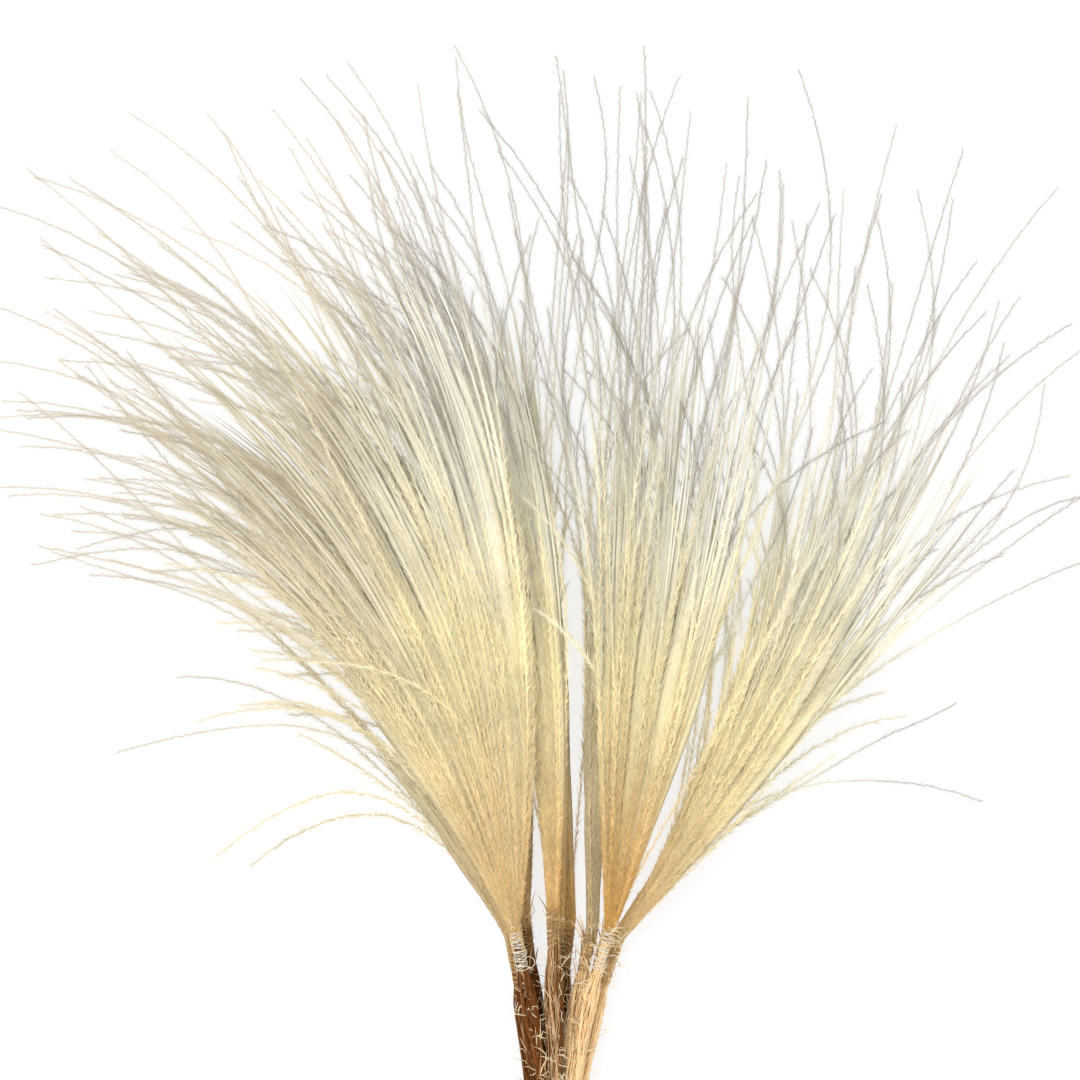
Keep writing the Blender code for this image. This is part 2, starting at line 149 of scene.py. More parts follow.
# How awns run. Headings and sways are in degrees. Curls, hooks, bows, droops and ripples are in
# millimetres. A habit holds the spreads of an awn's own sway, curl and bow.
Habit = namedtuple("Habit", "sway curl bow")
KEEPS_TO_LOCK = Habit(2.8, 14, 3.5)
STRAYS = Habit(8, 24, 6)
STRAY_SHARE = 0.1
LOCK_SWAY = 0.8
LOCK_CURL = 3.5
CURL_SHARES = (0.3, 1.7)
LARGEST_CURL = 38 * MM
HOOK_SHARE = 0.5
HOOK_SPREAD = 18
DROOP_SPREAD = 3
RIPPLE_DEPTHS = (0.1, 1.2)
RIPPLE_WAVES = (1.0, 2.6)
SWAY_AT_START = 0.4
WIDEST_HEADING = 50
FURTHEST_OUTSIDE = 14 * MM
REACH_BIAS = 1.35
SHORT_AWN = 0.62
ONE_SHORT_IN = 3

# The shares of an awn's length over which it leaves its lock, and clings to it and lets go
LEAVES_LOCK = (0.35, 0.95)
STARTS_CLINGING = (0.2, 0.6)
STOPS_CLINGING = (0.65, 1.0)

# How far hairs turn from the sides of a shaft and roll about themselves, in radians
HAIR_SPREAD_ROUND = 1.1
HAIR_ROLL = 0.9

# The silky locks. A layer has so many tongues for each lock, so much wider than their room, at
# a share of the plume's depth.
TONGUES_IN_A_LOCK = 3
SILK_LAYERS = ((TONGUES_IN_A_LOCK, 1.05, 0.5), (5, 1.35, 0.25), (13, 0.5, 0.5))
SILK_FLATNESS = 0.08
SKIN_DEPTH = 0.2
SKIN_CROWDING = 0.4
LONGEST_SILK = 0.95
SILK_LENGTHS = (0.85, 1.12)
SILK_BLUNTNESS = (1.6, 3.0)
SILK_SWAY = 0.7
SILK_SPREAD = 0.9
SILK_JITTER = 0.25
SILK_RISES = (-0.06, 0.04)
SILK_RIPPLE_DEPTHS = (0.2, 1.4)
SILK_WAVES = 1.5
SILK_OVERLAP = 2.1
SILK_MARGIN = 0.5 * MM
THINNEST_SILK = 0.02 * MM

# The stalks, with frayed sheaths round their upper halves
SHEATH_RADII = ((0.0, 2.3), (0.1, 2.3), (0.5, 3.2), (0.72, 3.5), (0.8, 2.1), (1.0, 1.8))
STALK_SHARES_BELOW = (1.0, 0.9, 0.75, 0.6, 0.45, 0.3, 0.15)
STALK_POINTS_ABOVE = 12
GOLDEN_CONTRAST = 1.9
MIDDLING_GOLDEN = 0.56
GOLDEN_ANGLE = 2.3999632
WANDER_BETWEEN_STRANDS = 3.7
WANDER_ALONG_A_STRAND = 5.0

# The thread round a neck and its loose loops, in millimetres and radians
POINTS_IN_A_TURN = 13
TURN_TILTS = (0.1, 1.5)
TURN_HEIGHTS = (-0.8, 0.8)
TURN_BULGES = (0, 0.15)
THREAD_MARGIN = 0.3 * MM
THREAD_LIFT = 0.1 * MM
LOOSE_LOOPS = 2
LOOP_STARTS = (-9, 1)
LOOP_ANGLES = (0.4, 2.2)
LOOP_BENDS = (0.25, 0.55)
LOOP_LENGTHS = (5, 12)
LOOP_RISE = 0.15
LOOP_STEPS = 8

# The fibres and slivers that cling to the stalks, in shares of the stalk and radians
FIBRES_ON_DARK = 0.5
MORE_ON_GOLDEN = 0.8
FIBRE_PLACES = (0.1, 1.08)
FIBRE_SCATTER = 0.9
FIBRE_LIFT = 0.2 * MM
LOWEST_FIBRE = 1.2 * MM
FIBRE_STEPS = 8
FIBRE_RISES = (-0.15, 0.2)
KINK_ANGLES = (0.5, 2.0)

PLIES_ACROSS_TWINE = 2.1
PLY_OFFSET = 0.55

# Patterns of the finishes: where the tan side of the fan starts and is full, in metres from the
# middle, streaks and barbs in the silk, for each turn round and each metre along, and the scale
# along a fibre, beside the one across it, that draws its streaks out
TAN_FROM_TO = (-0.035, -0.085)
TAN_AT_LEFT = 0.5
TONE_TO_LAYER = 300.0
STREAKS_AROUND = 50.0
STREAKS_ALONG = 90.0
BARB_SLANT = 1100.0
BARBS_ALONG = 320.0
BARB_SHARE = 0.42
STREAK_DRAWN_OUT = 0.12

# The stage. Lights have a name, a place and a size in metres, and a power in watts. The middle
# of the view is in millimetres.
FLOOR_SIZE = 8
LIGHTS = (("key", (-0.8, 0.7, 1.7), 1.3, 20.0), ("fill", (1.2, -0.3, 1.4), 1.4, 6.0))
LIGHT_TARGET = (0, 0.2, 0)
VIEW_CENTRE = (-5.4, 216, 30)


class PlumeSettings(bpy.types.PropertyGroup):
    hair_length: bpy.props.FloatProperty(
        name="Hair length", description="Length of the hairs along an awn's middle",
        default=4.6 * MM, min=0, unit="LENGTH")
    hair_spacing: bpy.props.FloatProperty(
        name="Hair spacing", description="Distance along an awn from one hair to the next",
        default=0.21 * MM, min=0.05 * MM, unit="LENGTH")
    hair_width: bpy.props.FloatProperty(
        name="Hair width", description="Width of a hair at its root",
        default=0.28 * MM, min=0, unit="LENGTH")
    shaft_thickness: bpy.props.FloatProperty(
        name="Shaft thickness", description="Thickness of an awn's shaft halfway along it",
        default=0.38 * MM, min=0, unit="LENGTH")
    angle_low: bpy.props.FloatProperty(
        name="Angle low down", description="Lean of the hairs away from the shaft near its root",
        default=math.radians(30), subtype="ANGLE")
    angle_high: bpy.props.FloatProperty(
        name="Angle at the tip", description="Lean of the hairs away from the shaft at its tip",
        default=math.radians(33), subtype="ANGLE")
    clinging: bpy.props.FloatProperty(
        name="Clinging", description="How strongly neighbouring awns cling together in locks",
        default=0.25, min=0, max=1, subtype="FACTOR")
    base_colour: bpy.props.FloatVectorProperty(
        name="Amber", description="Colour of the tight lower part of the plumes",
        default=(0.66, 0.37, 0.085), min=0, max=1, subtype="COLOR")
    cream_colour: bpy.props.FloatVectorProperty(
        name="Cream", description="Colour of the silky middle of the plumes",
        default=(0.86, 0.77, 0.475), min=0, max=1, subtype="COLOR")
    pale_colour: bpy.props.FloatVectorProperty(
        name="Pale", description="Colour where the locks part into single awns",
        default=(0.87, 0.84, 0.70), min=0, max=1, subtype="COLOR")
    tip_colour: bpy.props.FloatVectorProperty(
        name="Beige", description="Colour of the dry tips",
        default=(0.37, 0.33, 0.275), min=0, max=1, subtype="COLOR")
    left_colour: bpy.props.FloatVectorProperty(
        name="Tan", description="Colour that the left side of the fan tends to",
        default=(0.60, 0.50, 0.32), min=0, max=1, subtype="COLOR")


class StalkSettings(bpy.types.PropertyGroup):
    culms: bpy.props.IntProperty(
        name="Culms", description="Number of thin culms in each stalk", default=26, min=3)
    culm_thickness: bpy.props.FloatProperty(
        name="Culm thickness", description="Thickness of one culm",
        default=1.0 * MM, min=0, unit="LENGTH")
    twist: bpy.props.FloatProperty(
        name="Twist", description="Turns that the culms make from the cut end to the neck",
        default=0.6)
    fibres: bpy.props.IntProperty(
        name="Fibres", description="Number of fine fibres round each stalk", default=34, min=1)
    fibre_thickness: bpy.props.FloatProperty(
        name="Fibre thickness", description="Thickness of a fine fibre round a stalk",
        default=0.4 * MM, min=0, unit="LENGTH")
    light_colour: bpy.props.FloatVectorProperty(
        name="Straw", description="Colour of the lightest culms",
        default=(0.90, 0.64, 0.34), min=0, max=1, subtype="COLOR")
    dark_colour: bpy.props.FloatVectorProperty(
        name="Brown", description="Colour of the darkest culms",
        default=(0.19, 0.06, 0.010), min=0, max=1, subtype="COLOR")


class ThreadSettings(bpy.types.PropertyGroup):
    thickness: bpy.props.FloatProperty(
        name="Thread thickness", description="Thickness of the thread round each neck",
        default=0.24 * MM, min=0, unit="LENGTH")
    turns: bpy.props.IntProperty(
        name="Turns", description="Turns of thread round each neck, there and back",
        default=16, min=1)
    colour: bpy.props.FloatVectorProperty(
        name="Pale thread", description="Colour of the thread round the two pale necks",
        default=(0.95, 0.90, 0.76), min=0, max=1, subtype="COLOR")
    straw_colour: bpy.props.FloatVectorProperty(
        name="Straw thread", description="Colour of the thread round the other necks",
        default=(0.62, 0.40, 0.17), min=0, max=1, subtype="COLOR")
    fibres: bpy.props.IntProperty(
        name="Loose fibres", description="Pale fibres that cling to each stalk",
        default=70, min=0)
    fibre_thickness: bpy.props.FloatProperty(
        name="Fibre thickness", description="Thickness of a loose fibre at its middle",
        default=0.31 * MM, min=0, unit="LENGTH")
    fibre_colour: bpy.props.FloatVectorProperty(
        name="Fibre colour", description="Colour of the loose fibres",
        default=(0.95, 0.80, 0.54), min=0, max=1, subtype="COLOR")
    slivers: bpy.props.IntProperty(
        name="Slivers", description="Brown slivers of leaf sheath on each stalk",
        default=14, min=0)
    sliver_thickness: bpy.props.FloatProperty(
        name="Sliver thickness", description="Thickness of a sliver at its middle",
        default=0.5 * MM, min=0, unit="LENGTH")


class TwineSettings(bpy.types.PropertyGroup):
    plies: bpy.props.IntProperty(
        name="Plies", description="Strands laid together in the twine", default=3, min=2)
    lay: bpy.props.FloatProperty(
        name="Lay", description="Length along the twine in which a ply turns once",
        default=5 * MM, min=1 * MM, unit="LENGTH")
    colour: bpy.props.FloatVectorProperty(
        name="Jute", description="Colour of the twine",
        default=(0.52, 0.36, 0.18), min=0, max=1, subtype="COLOR")


class StageSettings(bpy.types.PropertyGroup):
    view_width: bpy.props.FloatProperty(
        name="View width", description="Width of the view at the height of the plumes",
        default=0.389, min=0.01, unit="LENGTH")
    lens: bpy.props.FloatProperty(
        name="Lens", description="Focal length of the camera in millimetres", default=200)
    floor_colour: bpy.props.FloatVectorProperty(
        name="Floor", description="Colour of the floor",
        default=(0.25, 0.25, 0.25), min=0, max=1, subtype="COLOR")
    floor_glow: bpy.props.FloatProperty(
        name="Floor glow", description="Light that the floor gives, which keeps it white",
        default=0.75, min=0)
    studio_light: bpy.props.FloatProperty(
        name="Studio light", description="Strength of the soft light from all sides",
        default=0.95, min=0)


# Node trees


def put(tree, kind, inputs=None, **settings):
    """A node with its settings made, and each input given a value or joined to an output."""
    node = tree.nodes.new(kind)
    for name, value in settings.items():
        setattr(node, name, value)
    for identifier, value in (inputs or {}).items():
        socket = next(s for s in node.inputs if s.identifier == identifier)
        if isinstance(value, bpy.types.NodeSocket):
            tree.links.new(value, socket)
        else:
            socket.default_value = value
    return node


def maths(tree, operation, first, second=0.0, third=0.0):
    inputs = {"Value": first, "Value_001": second, "Value_002": third}
    return put(tree, "ShaderNodeMath", inputs, operation=operation).outputs[0]


def vector_maths(tree, operation, first, second=None, scale=None):
    inputs = {"Vector": first}
    if second is not None:
        inputs["Vector_001"] = second
    if scale is not None:
        inputs["Scale"] = scale
    return put(tree, "ShaderNodeVectorMath", inputs, operation=operation).outputs[0]


def ramp(tree, value, low, high, start=0.0, end=1.0):
    """A value carried from one range to another, and held at its ends."""
    inputs = {"Value": value, "From Min": start, "From Max": end, "To Min": low, "To Max": high}
    return put(tree, "ShaderNodeMapRange", inputs).outputs[0]


def drawn(tree, low, high, seed, shift=0):
    """A random number between two limits, from a seed that may be shifted."""
    if shift:
        seed = maths(tree, "ADD", seed, shift)
    inputs = {"Min_001": low, "Max_001": high, "Seed": seed}
    return put(tree, "FunctionNodeRandomValue", inputs).outputs[1]


def remember(tree, geometry, name, value, domain="POINT"):
    inputs = {"Geometry": geometry, "Name": name, "Value": value}
    return put(tree, "GeometryNodeStoreNamedAttribute", inputs, domain=domain).outputs[0]


def recall(tree, name):
    return put(tree, "GeometryNodeInputNamedAttribute", {"Name": name}).outputs[0]


def circle(tree, sides, radius):
    inputs = {"Resolution": sides, "Radius": radius}
    return put(tree, "GeometryNodeCurvePrimitiveCircle", inputs).outputs[0]


def swept(tree, curves, profile, scale):
    """Closed tubes of a profile along curves, scaled along them."""
    inputs = {"Curve": curves, "Profile Curve": profile, "Scale": scale, "Fill Caps": True}
    return put(tree, "GeometryNodeCurveToMesh", inputs).outputs[0]


def turned(tree, rotation, axis, angle):
    """A rotation turned further about one of its own axes."""
    inputs = {"Axis": axis, "Angle": angle}
    further = put(tree, "FunctionNodeAxisAngleToRotation", inputs).outputs[0]
    return put(tree, "FunctionNodeRotateRotation", {"Rotation": rotation, "Rotate By": further},
               rotation_space="LOCAL").outputs[0]


def new_tree(name, inputs):
    """A geometry tree with named inputs, and its group input and output nodes."""
    tree = bpy.data.node_groups.new(name, "GeometryNodeTree")
    tree.interface.new_socket("Geometry", in_out="INPUT", socket_type="NodeSocketGeometry")
    for label, kind in inputs:
        tree.interface.new_socket(label, in_out="INPUT", socket_type="NodeSocket" + kind)
    tree.interface.new_socket("Geometry", in_out="OUTPUT", socket_type="NodeSocketGeometry")
    given = {socket.name: socket for socket in tree.nodes.new("NodeGroupInput").outputs}
    return tree, given


def finish_tree(tree, geometry, material):
    """End a tree in Realize Instances, smooth faces and Set Material."""
    real = put(tree, "GeometryNodeRealizeInstances", {"Geometry": geometry}).outputs[0]
    smooth = put(tree, "GeometryNodeSetShadeSmooth", {"Geometry": real}).outputs[0]
    dressed = put(tree, "GeometryNodeSetMaterial", {"Geometry": smooth, "Material": material})
    tree.links.new(dressed.outputs[0], tree.nodes.new("NodeGroupOutput").inputs[0])


def hairy_awn_tree():
    """Each curve becomes a thin tapered shaft with fine hairs that lean along it."""
    tree, given = new_tree("Hairy awns", (
        ("Shaft Thickness", "Float"), ("Hair Length", "Float"), ("Hair Spacing", "Float"),
        ("Hair Width", "Float"), ("Angle Low", "Float"), ("Angle High", "Float"),
        ("Warmth", "Float"), ("Shine", "Float"), ("Seed", "Int"), ("Material", "Material")))
    seed = given["Seed"]
    along = maths(tree, "MULTIPLY", put(tree, "GeometryNodeSplineParameter").outputs[0],
                  put(tree, "GeometryNodeInputRadius").outputs[0])
    curves = remember(tree, given["Geometry"], "along", along)
    # Each awn's tone is drawn at random and multiplied by the bunch's factor. That factor is
    # partly the bunch's own tone and partly a painted sheen.
    tone = maths(tree, "MULTIPLY", drawn(tree, 0.9, 1.12, seed), given["Shine"])
    curves = remember(tree, curves, "tone", tone, "CURVE")
    warmth = maths(tree, "ADD", drawn(tree, -0.15, 0.15, seed, 7), given["Warmth"])
    curves = remember(tree, curves, "warmth", warmth, "CURVE")

    half = maths(tree, "MULTIPLY", given["Shaft Thickness"], 0.5)
    taper = maths(tree, "MULTIPLY", ramp(tree, along, 0.55, 1.0, start=0.2, end=0.6),
                  ramp(tree, along, 1.0, 0.42, start=0.6, end=1.0))
    shafts = remember(tree, swept(tree, curves, circle(tree, 3, half), taper), "strand", 0.9)

    # A hair is turned round the shaft to one of its two sides, leant away from it, and rolled so
    # that its flat face is near level
    points = put(tree, "GeometryNodeCurveToPoints",
                 {"Curve": curves, "Length": given["Hair Spacing"]}, mode="LENGTH")
    forward = put(tree, "FunctionNodeAlignRotationToVector",
                  {"Vector": points.outputs["Tangent"]}, axis="Z").outputs[0]
    level = put(tree, "FunctionNodeAlignRotationToVector",
                {"Rotation": forward, "Vector": (0, 0, 1)}, axis="X", pivot_axis="Z").outputs[0]
    side = put(tree, "FunctionNodeRandomValue",
               {"Min_002": 0, "Max_002": 1, "Seed": seed}, data_type="INT").outputs[2]
    quarter = math.pi / 2
    spin = maths(tree, "MULTIPLY_ADD", side, math.pi, drawn(
        tree, quarter - HAIR_SPREAD_ROUND, quarter + HAIR_SPREAD_ROUND, seed, 1))
    place = recall(tree, "along")
    steeper = maths(tree, "SUBTRACT", given["Angle High"], given["Angle Low"])
    lean = maths(tree, "MULTIPLY_ADD", place, steeper, given["Angle Low"])
    lean = maths(tree, "MULTIPLY", lean, drawn(tree, 0.45, 1.35, seed, 2))
    roll = maths(tree, "SUBTRACT", drawn(tree, -HAIR_ROLL, HAIR_ROLL, seed, 5), spin)
    spun = turned(tree, level, (0, 0, 1), spin)
    leant = turned(tree, spun, (0, 1, 0), lean)
    rolled = turned(tree, leant, (0, 0, 1), roll)

    # Hairs are shorter at the root and at the tip, and finer and closer together up there
    length = maths(tree, "MULTIPLY", ramp(tree, place, 0.55, 1.0, start=0.05, end=0.4),
                   ramp(tree, place, 1.0, 0.8, start=0.85, end=1.0))
    length = maths(tree, "MULTIPLY", length, given["Hair Length"])
    length = maths(tree, "MULTIPLY", length, drawn(tree, 0.5, 1.15, seed, 3))
    width = maths(tree, "MULTIPLY", given["Hair Width"],
                  ramp(tree, place, 1.0, 0.33, start=0.35, end=0.75))
    size = put(tree, "ShaderNodeCombineXYZ", {"X": width, "Y": width, "Z": length}).outputs[0]
    kept = maths(tree, "LESS_THAN", drawn(tree, 0.0, 1.0, seed, 6),
                 ramp(tree, place, 0.56, 1.0, start=0.35, end=0.75))
    triangle = put(tree, "GeometryNodeMeshCircle", {"Vertices": 3, "Radius": 1.0},
                   fill_type="NGON").outputs[0]
    # The sliver is 1 wide and 1 long, and stands on its base along Z
    sliver = put(tree, "GeometryNodeTransform",
                 {"Geometry": triangle, "Translation": (0, 0, 1 / 3),
                  "Rotation": (0, -math.pi / 2, 0), "Scale": (1 / 1.5, 1 / math.sqrt(3), 1)}
                 ).outputs[0]
    hairs = put(tree, "GeometryNodeInstanceOnPoints",
                {"Points": points.outputs["Points"], "Selection": kept, "Instance": sliver,
                 "Rotation": rolled, "Scale": size}).outputs[0]
    hairs = remember(tree, hairs, "strand", drawn(tree, 0.0, 1.0, seed, 4), "INSTANCE")
    both = put(tree, "GeometryNodeJoinGeometry")
    tree.links.new(shafts, both.inputs[0])
    tree.links.new(hairs, both.inputs[0])
    finish_tree(tree, both.outputs[0], given["Material"])
    return tree


def silk_lock_tree():
    """Each curve becomes a flat, silky lock, as wide as the curve's radius says."""
    tree, given = new_tree("Silk locks", (
        ("Flatness", "Float"), ("Reach", "Float"), ("Warmth", "Float"), ("Shine", "Float"),
        ("Seed", "Int"), ("Material", "Material")))
    distance = put(tree, "GeometryNodeSplineParameter").outputs[1]
    along = maths(tree, "DIVIDE", distance, given["Reach"])
    curves = remember(tree, given["Geometry"], "along", along)
    curves = remember(tree, curves, "distance", distance)
    # Silk takes 0.84 to 0.9 of the bunch's factor, below the awns' 0.9 to 1.12. This is painted
    # shade on the silk that lies under the awns. The bunch's factor is partly a painted sheen.
    tone = maths(tree, "MULTIPLY", drawn(tree, 0.84, 0.9, given["Seed"]), given["Shine"])
    curves = remember(tree, curves, "tone", tone, "CURVE")
    curves = remember(tree, curves, "warmth", given["Warmth"], "CURVE")
    curves = put(tree, "GeometryNodeSetCurveNormal", {"Curve": curves}, mode="Z_UP").outputs[0]
    around = put(tree, "GeometryNodeSplineParameter").outputs[0]
    ring = remember(tree, circle(tree, 6, 1.0), "around", around)
    size = put(tree, "ShaderNodeCombineXYZ", {"X": 1.0, "Y": given["Flatness"], "Z": 1.0})
    flat = put(tree, "GeometryNodeTransform",
               {"Geometry": ring, "Scale": size.outputs[0]}).outputs[0]
    radius = put(tree, "GeometryNodeInputRadius").outputs[0]
    locks = remember(tree, swept(tree, curves, flat, radius), "strand", 0.45)
    locks = remember(tree, locks, "silky", 1.0)
    finish_tree(tree, locks, given["Material"])
    return tree


def strand_bundle_tree():
    """The curve becomes a bundle of round strands that wind about it inside its radius."""
    tree, given = new_tree("Strand bundle", (
        ("Strands", "Int"), ("Strand Thickness", "Float"), ("Turns", "Float"),
        ("Packing", "Float"), ("Wander", "Float"), ("Points", "Int"), ("Sides", "Int"),
        ("Lightness", "Float"), ("Seed", "Int"), ("Material", "Material")))
    copies = put(tree, "GeometryNodeDuplicateElements",
                 {"Geometry": given["Geometry"], "Amount": given["Strands"]}, domain="SPLINE")
    curves = remember(tree, copies.outputs[0], "strand_number", copies.outputs[1], "CURVE")
    tone = maths(tree, "ADD", drawn(tree, 0.0, 1.0, given["Seed"]), given["Lightness"])
    curves = remember(tree, curves, "tone", tone, "CURVE")
    curves = remember(tree, curves, "stout", drawn(tree, 0.7, 1.2, given["Seed"], 1), "CURVE")
    curves = put(tree, "GeometryNodeResampleCurve",
                 {"Curve": curves, "Count": given["Points"]}).outputs[0]
    along = put(tree, "GeometryNodeSplineParameter").outputs[0]
    curves = remember(tree, curves, "along", along)

    number = recall(tree, "strand_number")
    tangent = put(tree, "GeometryNodeInputTangent").outputs[0]
    up = vector_maths(tree, "CROSS_PRODUCT", (1, 0, 0), tangent)
    across = vector_maths(tree, "CROSS_PRODUCT", tangent, up)
    twist = maths(tree, "MULTIPLY", along, maths(tree, "MULTIPLY", given["Turns"], math.tau))
    turn = maths(tree, "MULTIPLY_ADD", number, GOLDEN_ANGLE, twist)
    noise_place = put(tree, "ShaderNodeCombineXYZ",
                      {"X": maths(tree, "MULTIPLY", number, WANDER_BETWEEN_STRANDS),
                       "Y": maths(tree, "MULTIPLY", along, WANDER_ALONG_A_STRAND),
                       "Z": given["Seed"]}).outputs[0]
    noise = put(tree, "ShaderNodeTexNoise",
                {"Vector": noise_place, "Scale": 1.0, "Detail": 1.0}).outputs[0]
    wobble = maths(tree, "MULTIPLY", maths(tree, "SUBTRACT", noise, 0.5), given["Wander"])
    turn = maths(tree, "ADD", turn, wobble)
    share = maths(tree, "DIVIDE", maths(tree, "ADD", number, 0.5), given["Strands"])
    radius = put(tree, "GeometryNodeInputRadius").outputs[0]
    reach = maths(tree, "MULTIPLY", maths(tree, "POWER", share, given["Packing"]), radius)
    sideways = vector_maths(tree, "SCALE", across, scale=maths(
        tree, "MULTIPLY", reach, maths(tree, "COSINE", turn)))
    upwards = vector_maths(tree, "SCALE", up, scale=maths(
        tree, "MULTIPLY", reach, maths(tree, "SINE", turn)))
    offset = vector_maths(tree, "ADD", sideways, upwards)
    curves = put(tree, "GeometryNodeSetPosition",
                 {"Geometry": curves, "Offset": offset}).outputs[0]
    half = maths(tree, "MULTIPLY", given["Strand Thickness"], 0.5)
    tubes = swept(tree, curves, circle(tree, given["Sides"], half), recall(tree, "stout"))
    finish_tree(tree, tubes, given["Material"])
    return tree


def tapered_fibre_tree():
    """Each curve becomes a thin fibre, thickest at its middle."""
    tree, given = new_tree("Tapered fibres", (
        ("Thickness", "Float"), ("Taper", "Float"), ("Sides", "Int"), ("Seed", "Int"),
        ("Material", "Material")))
    along = put(tree, "GeometryNodeSplineParameter").outputs[0]
    curves = remember(tree, given["Geometry"], "along", along)
    curves = remember(tree, curves, "tone", drawn(tree, 0.0, 1.0, given["Seed"]), "CURVE")
    arch = maths(tree, "MULTIPLY", maths(tree, "MULTIPLY", along, 4.0),
                 maths(tree, "SUBTRACT", 1.0, along))
    slim = maths(tree, "MULTIPLY", given["Taper"], maths(tree, "SUBTRACT", 1.0, arch))
    slim = maths(tree, "SUBTRACT", 1.0, slim)
    half = maths(tree, "MULTIPLY", given["Thickness"], 0.5)
    tubes = swept(tree, curves, circle(tree, given["Sides"], half), slim)
    finish_tree(tree, tubes, given["Material"])
    return tree


def shared_tree(name, build):
    """A node tree or shader group of this name, built when it is first asked for."""
    return bpy.data.node_groups.get(name) or build()


def grown(name, paths, tree, values, radii=None):
    """A plain mesh piece that a geometry tree makes from curves through lists of points."""
    data = bpy.data.curves.new(name + "_paths", "CURVE")
    data.dimensions = "3D"
    for i, path in enumerate(paths):
        spline = data.splines.new("POLY")
        spline.points.add(len(path) - 1)
        spline.points.foreach_set("co", [value for point in path for value in (*point, 1)])
        if radii:
            spline.points.foreach_set("radius", radii[i])
    guide = bpy.data.objects.new(name + "_guide", data)
    bpy.context.scene.collection.objects.link(guide)
    modifier = guide.modifiers.new("grow", "NODES")
    modifier.node_group = tree
    for item in tree.interface.items_tree:
        if item.item_type == "SOCKET" and item.in_out == "INPUT" and item.name in values:
            modifier[item.identifier] = values[item.name]
    graph = bpy.context.evaluated_depsgraph_get()
    mesh = bpy.data.meshes.new_from_object(guide.evaluated_get(graph))
    guide.modifiers.remove(modifier)
    bpy.data.objects.remove(guide)
    bpy.data.curves.remove(data)
    mesh.name = name
    piece = bpy.data.objects.new(name, mesh)
    bpy.context.scene.collection.objects.link(piece)
    return piece


# Where things run


def interpolate(table, share):
    for (low, first), (high, second) in zip(table, table[1:]):
        if share <= high:
            return first + (second - first) * (share - low) / (high - low)
    return table[-1][1]


def between(limits, share):
    return limits[0] + (limits[1] - limits[0]) * share


def slot_place(slot):
    across, row = slot
    lowest = TWINE_THICKNESS + TIE_GAP + STALK_RADIUS_AT_TIE
    row_height = STALK_PITCH * math.sin(math.radians(60))
    return Vector((across * STALK_PITCH / 2, 0, lowest + row * row_height))


def neck_place(bunch):
    return Vector(bunch.neck) * MM


def stalk_above(bunch, share):
    start, neck = slot_place(bunch.slot), neck_place(bunch)
    spread = share**SPREAD_POWER_ABOVE
    rise = share**RISE_POWER_ABOVE
    return Vector((start.x + (neck.x - start.x) * spread, neck.y * share,
                   start.z + (neck.z - start.z) * rise))


def stalk_below(bunch, share):
    start = slot_place(bunch.slot)
    drop = TWINE_THICKNESS + TIE_GAP + STALK_RADIUS_AT_TIE - STALK_RADIUS_AT_END
    end = Vector((start.x * CUT_END_SPREAD, 0, start.z - drop))
    stagger = CUT_END_STAGGER * math.sin(bunch.seed * CUT_END_RHYTHM)
    length = CUT_END_DISTANCE + stagger
    spread = share**SPREAD_POWER_BELOW
    return Vector((start.x + (end.x - start.x) * spread, -length * share,
                   start.z + (end.z - start.z) * spread))


def neck_direction(bunch):
    step = 0.03
    return (stalk_above(bunch, 1) - stalk_above(bunch, 1 - step)).normalized()


def direction(heading, lift):
    return Vector((math.sin(heading) * math.cos(lift), math.cos(heading) * math.cos(lift),
                   math.sin(lift)))


def above_floor(point):
    return Vector((point.x, point.y, max(point.z, FLOOR_CLEARANCE)))


def arc_of(bunch, across, through, reach, sway=0.0):
    """Root, control and tip of an awn's curve, as the solids' blades have them where sway is 0."""
    tip_heading = between(bunch.tips, across)
    widest = max(WIDEST_HEADING, abs(tip_heading))
    sway = min(max(sway, -widest - tip_heading), widest - tip_heading)
    start = math.radians(between(bunch.start, across) + SWAY_AT_START * sway)
    heading = math.radians(tip_heading + sway)
    lift = math.radians(between(bunch.lift, through))
    leaning = max(0, math.degrees(abs(heading)) - FULL_REACH_HEADING)
    reach *= 1 - REACH_LOSS_PER_DEGREE * leaning
    offset = AWN_ROOT_SPREAD * Vector((2 * across - 1, 0, 2 * through - 1))
    root = neck_place(bunch) + AWN_ROOT_HEIGHT * neck_direction(bunch) + offset
    control = root + CONTROL_SHARE * reach * direction(start, lift + AWN_SAG)
    tip = root + reach * direction(heading, lift)
    return root, above_floor(control), above_floor(tip)


def on_arc(arc, share):
    root, control, tip = arc
    rest = 1 - share
    return rest * rest * root + 2 * share * rest * control + share * share * tip


def fade(share, end):
    return max(0, 1 - share / end) ** 2


def foot_offset(across, through):
    """Where an awn stands within the round foot of its plume, beyond the solids' own spread."""
    place = Vector((2 * across - 1, 0, 2 * through - 1))
    return FOOT_SPREAD * place / max(1, place.length)


def with_foot(bunch, points, across, through):
    """The path with its foot spread round the neck and carried down into the thread."""
    offset = foot_offset(across, through)
    last = len(points) - 1
    spread = [point + offset * fade(i / last, FOOT_SHARE) for i, point in enumerate(points)]
    axis = neck_direction(bunch)
    below = [spread[0] - drop * MM * axis - FOOT_TAPER * offset * drop / FOOT_DROPS[0]
             for drop in FOOT_DROPS]
    return below + spread


Lock = namedtuple("Lock", "across sway curl")


def lock_of(bunch, across):
    """The middle of the small lock that an awn is in, and how the lock sways and curls as one."""
    count = TONGUES_IN_A_LOCK * bunch.locks
    number = min(max(math.floor(across * count), 0), count - 1)
    draw = random.Random(7000 * bunch.seed + number)
    return Lock((number + 0.5) / count, draw.gauss(0, LOCK_SWAY), draw.gauss(0, LOCK_CURL) * MM)


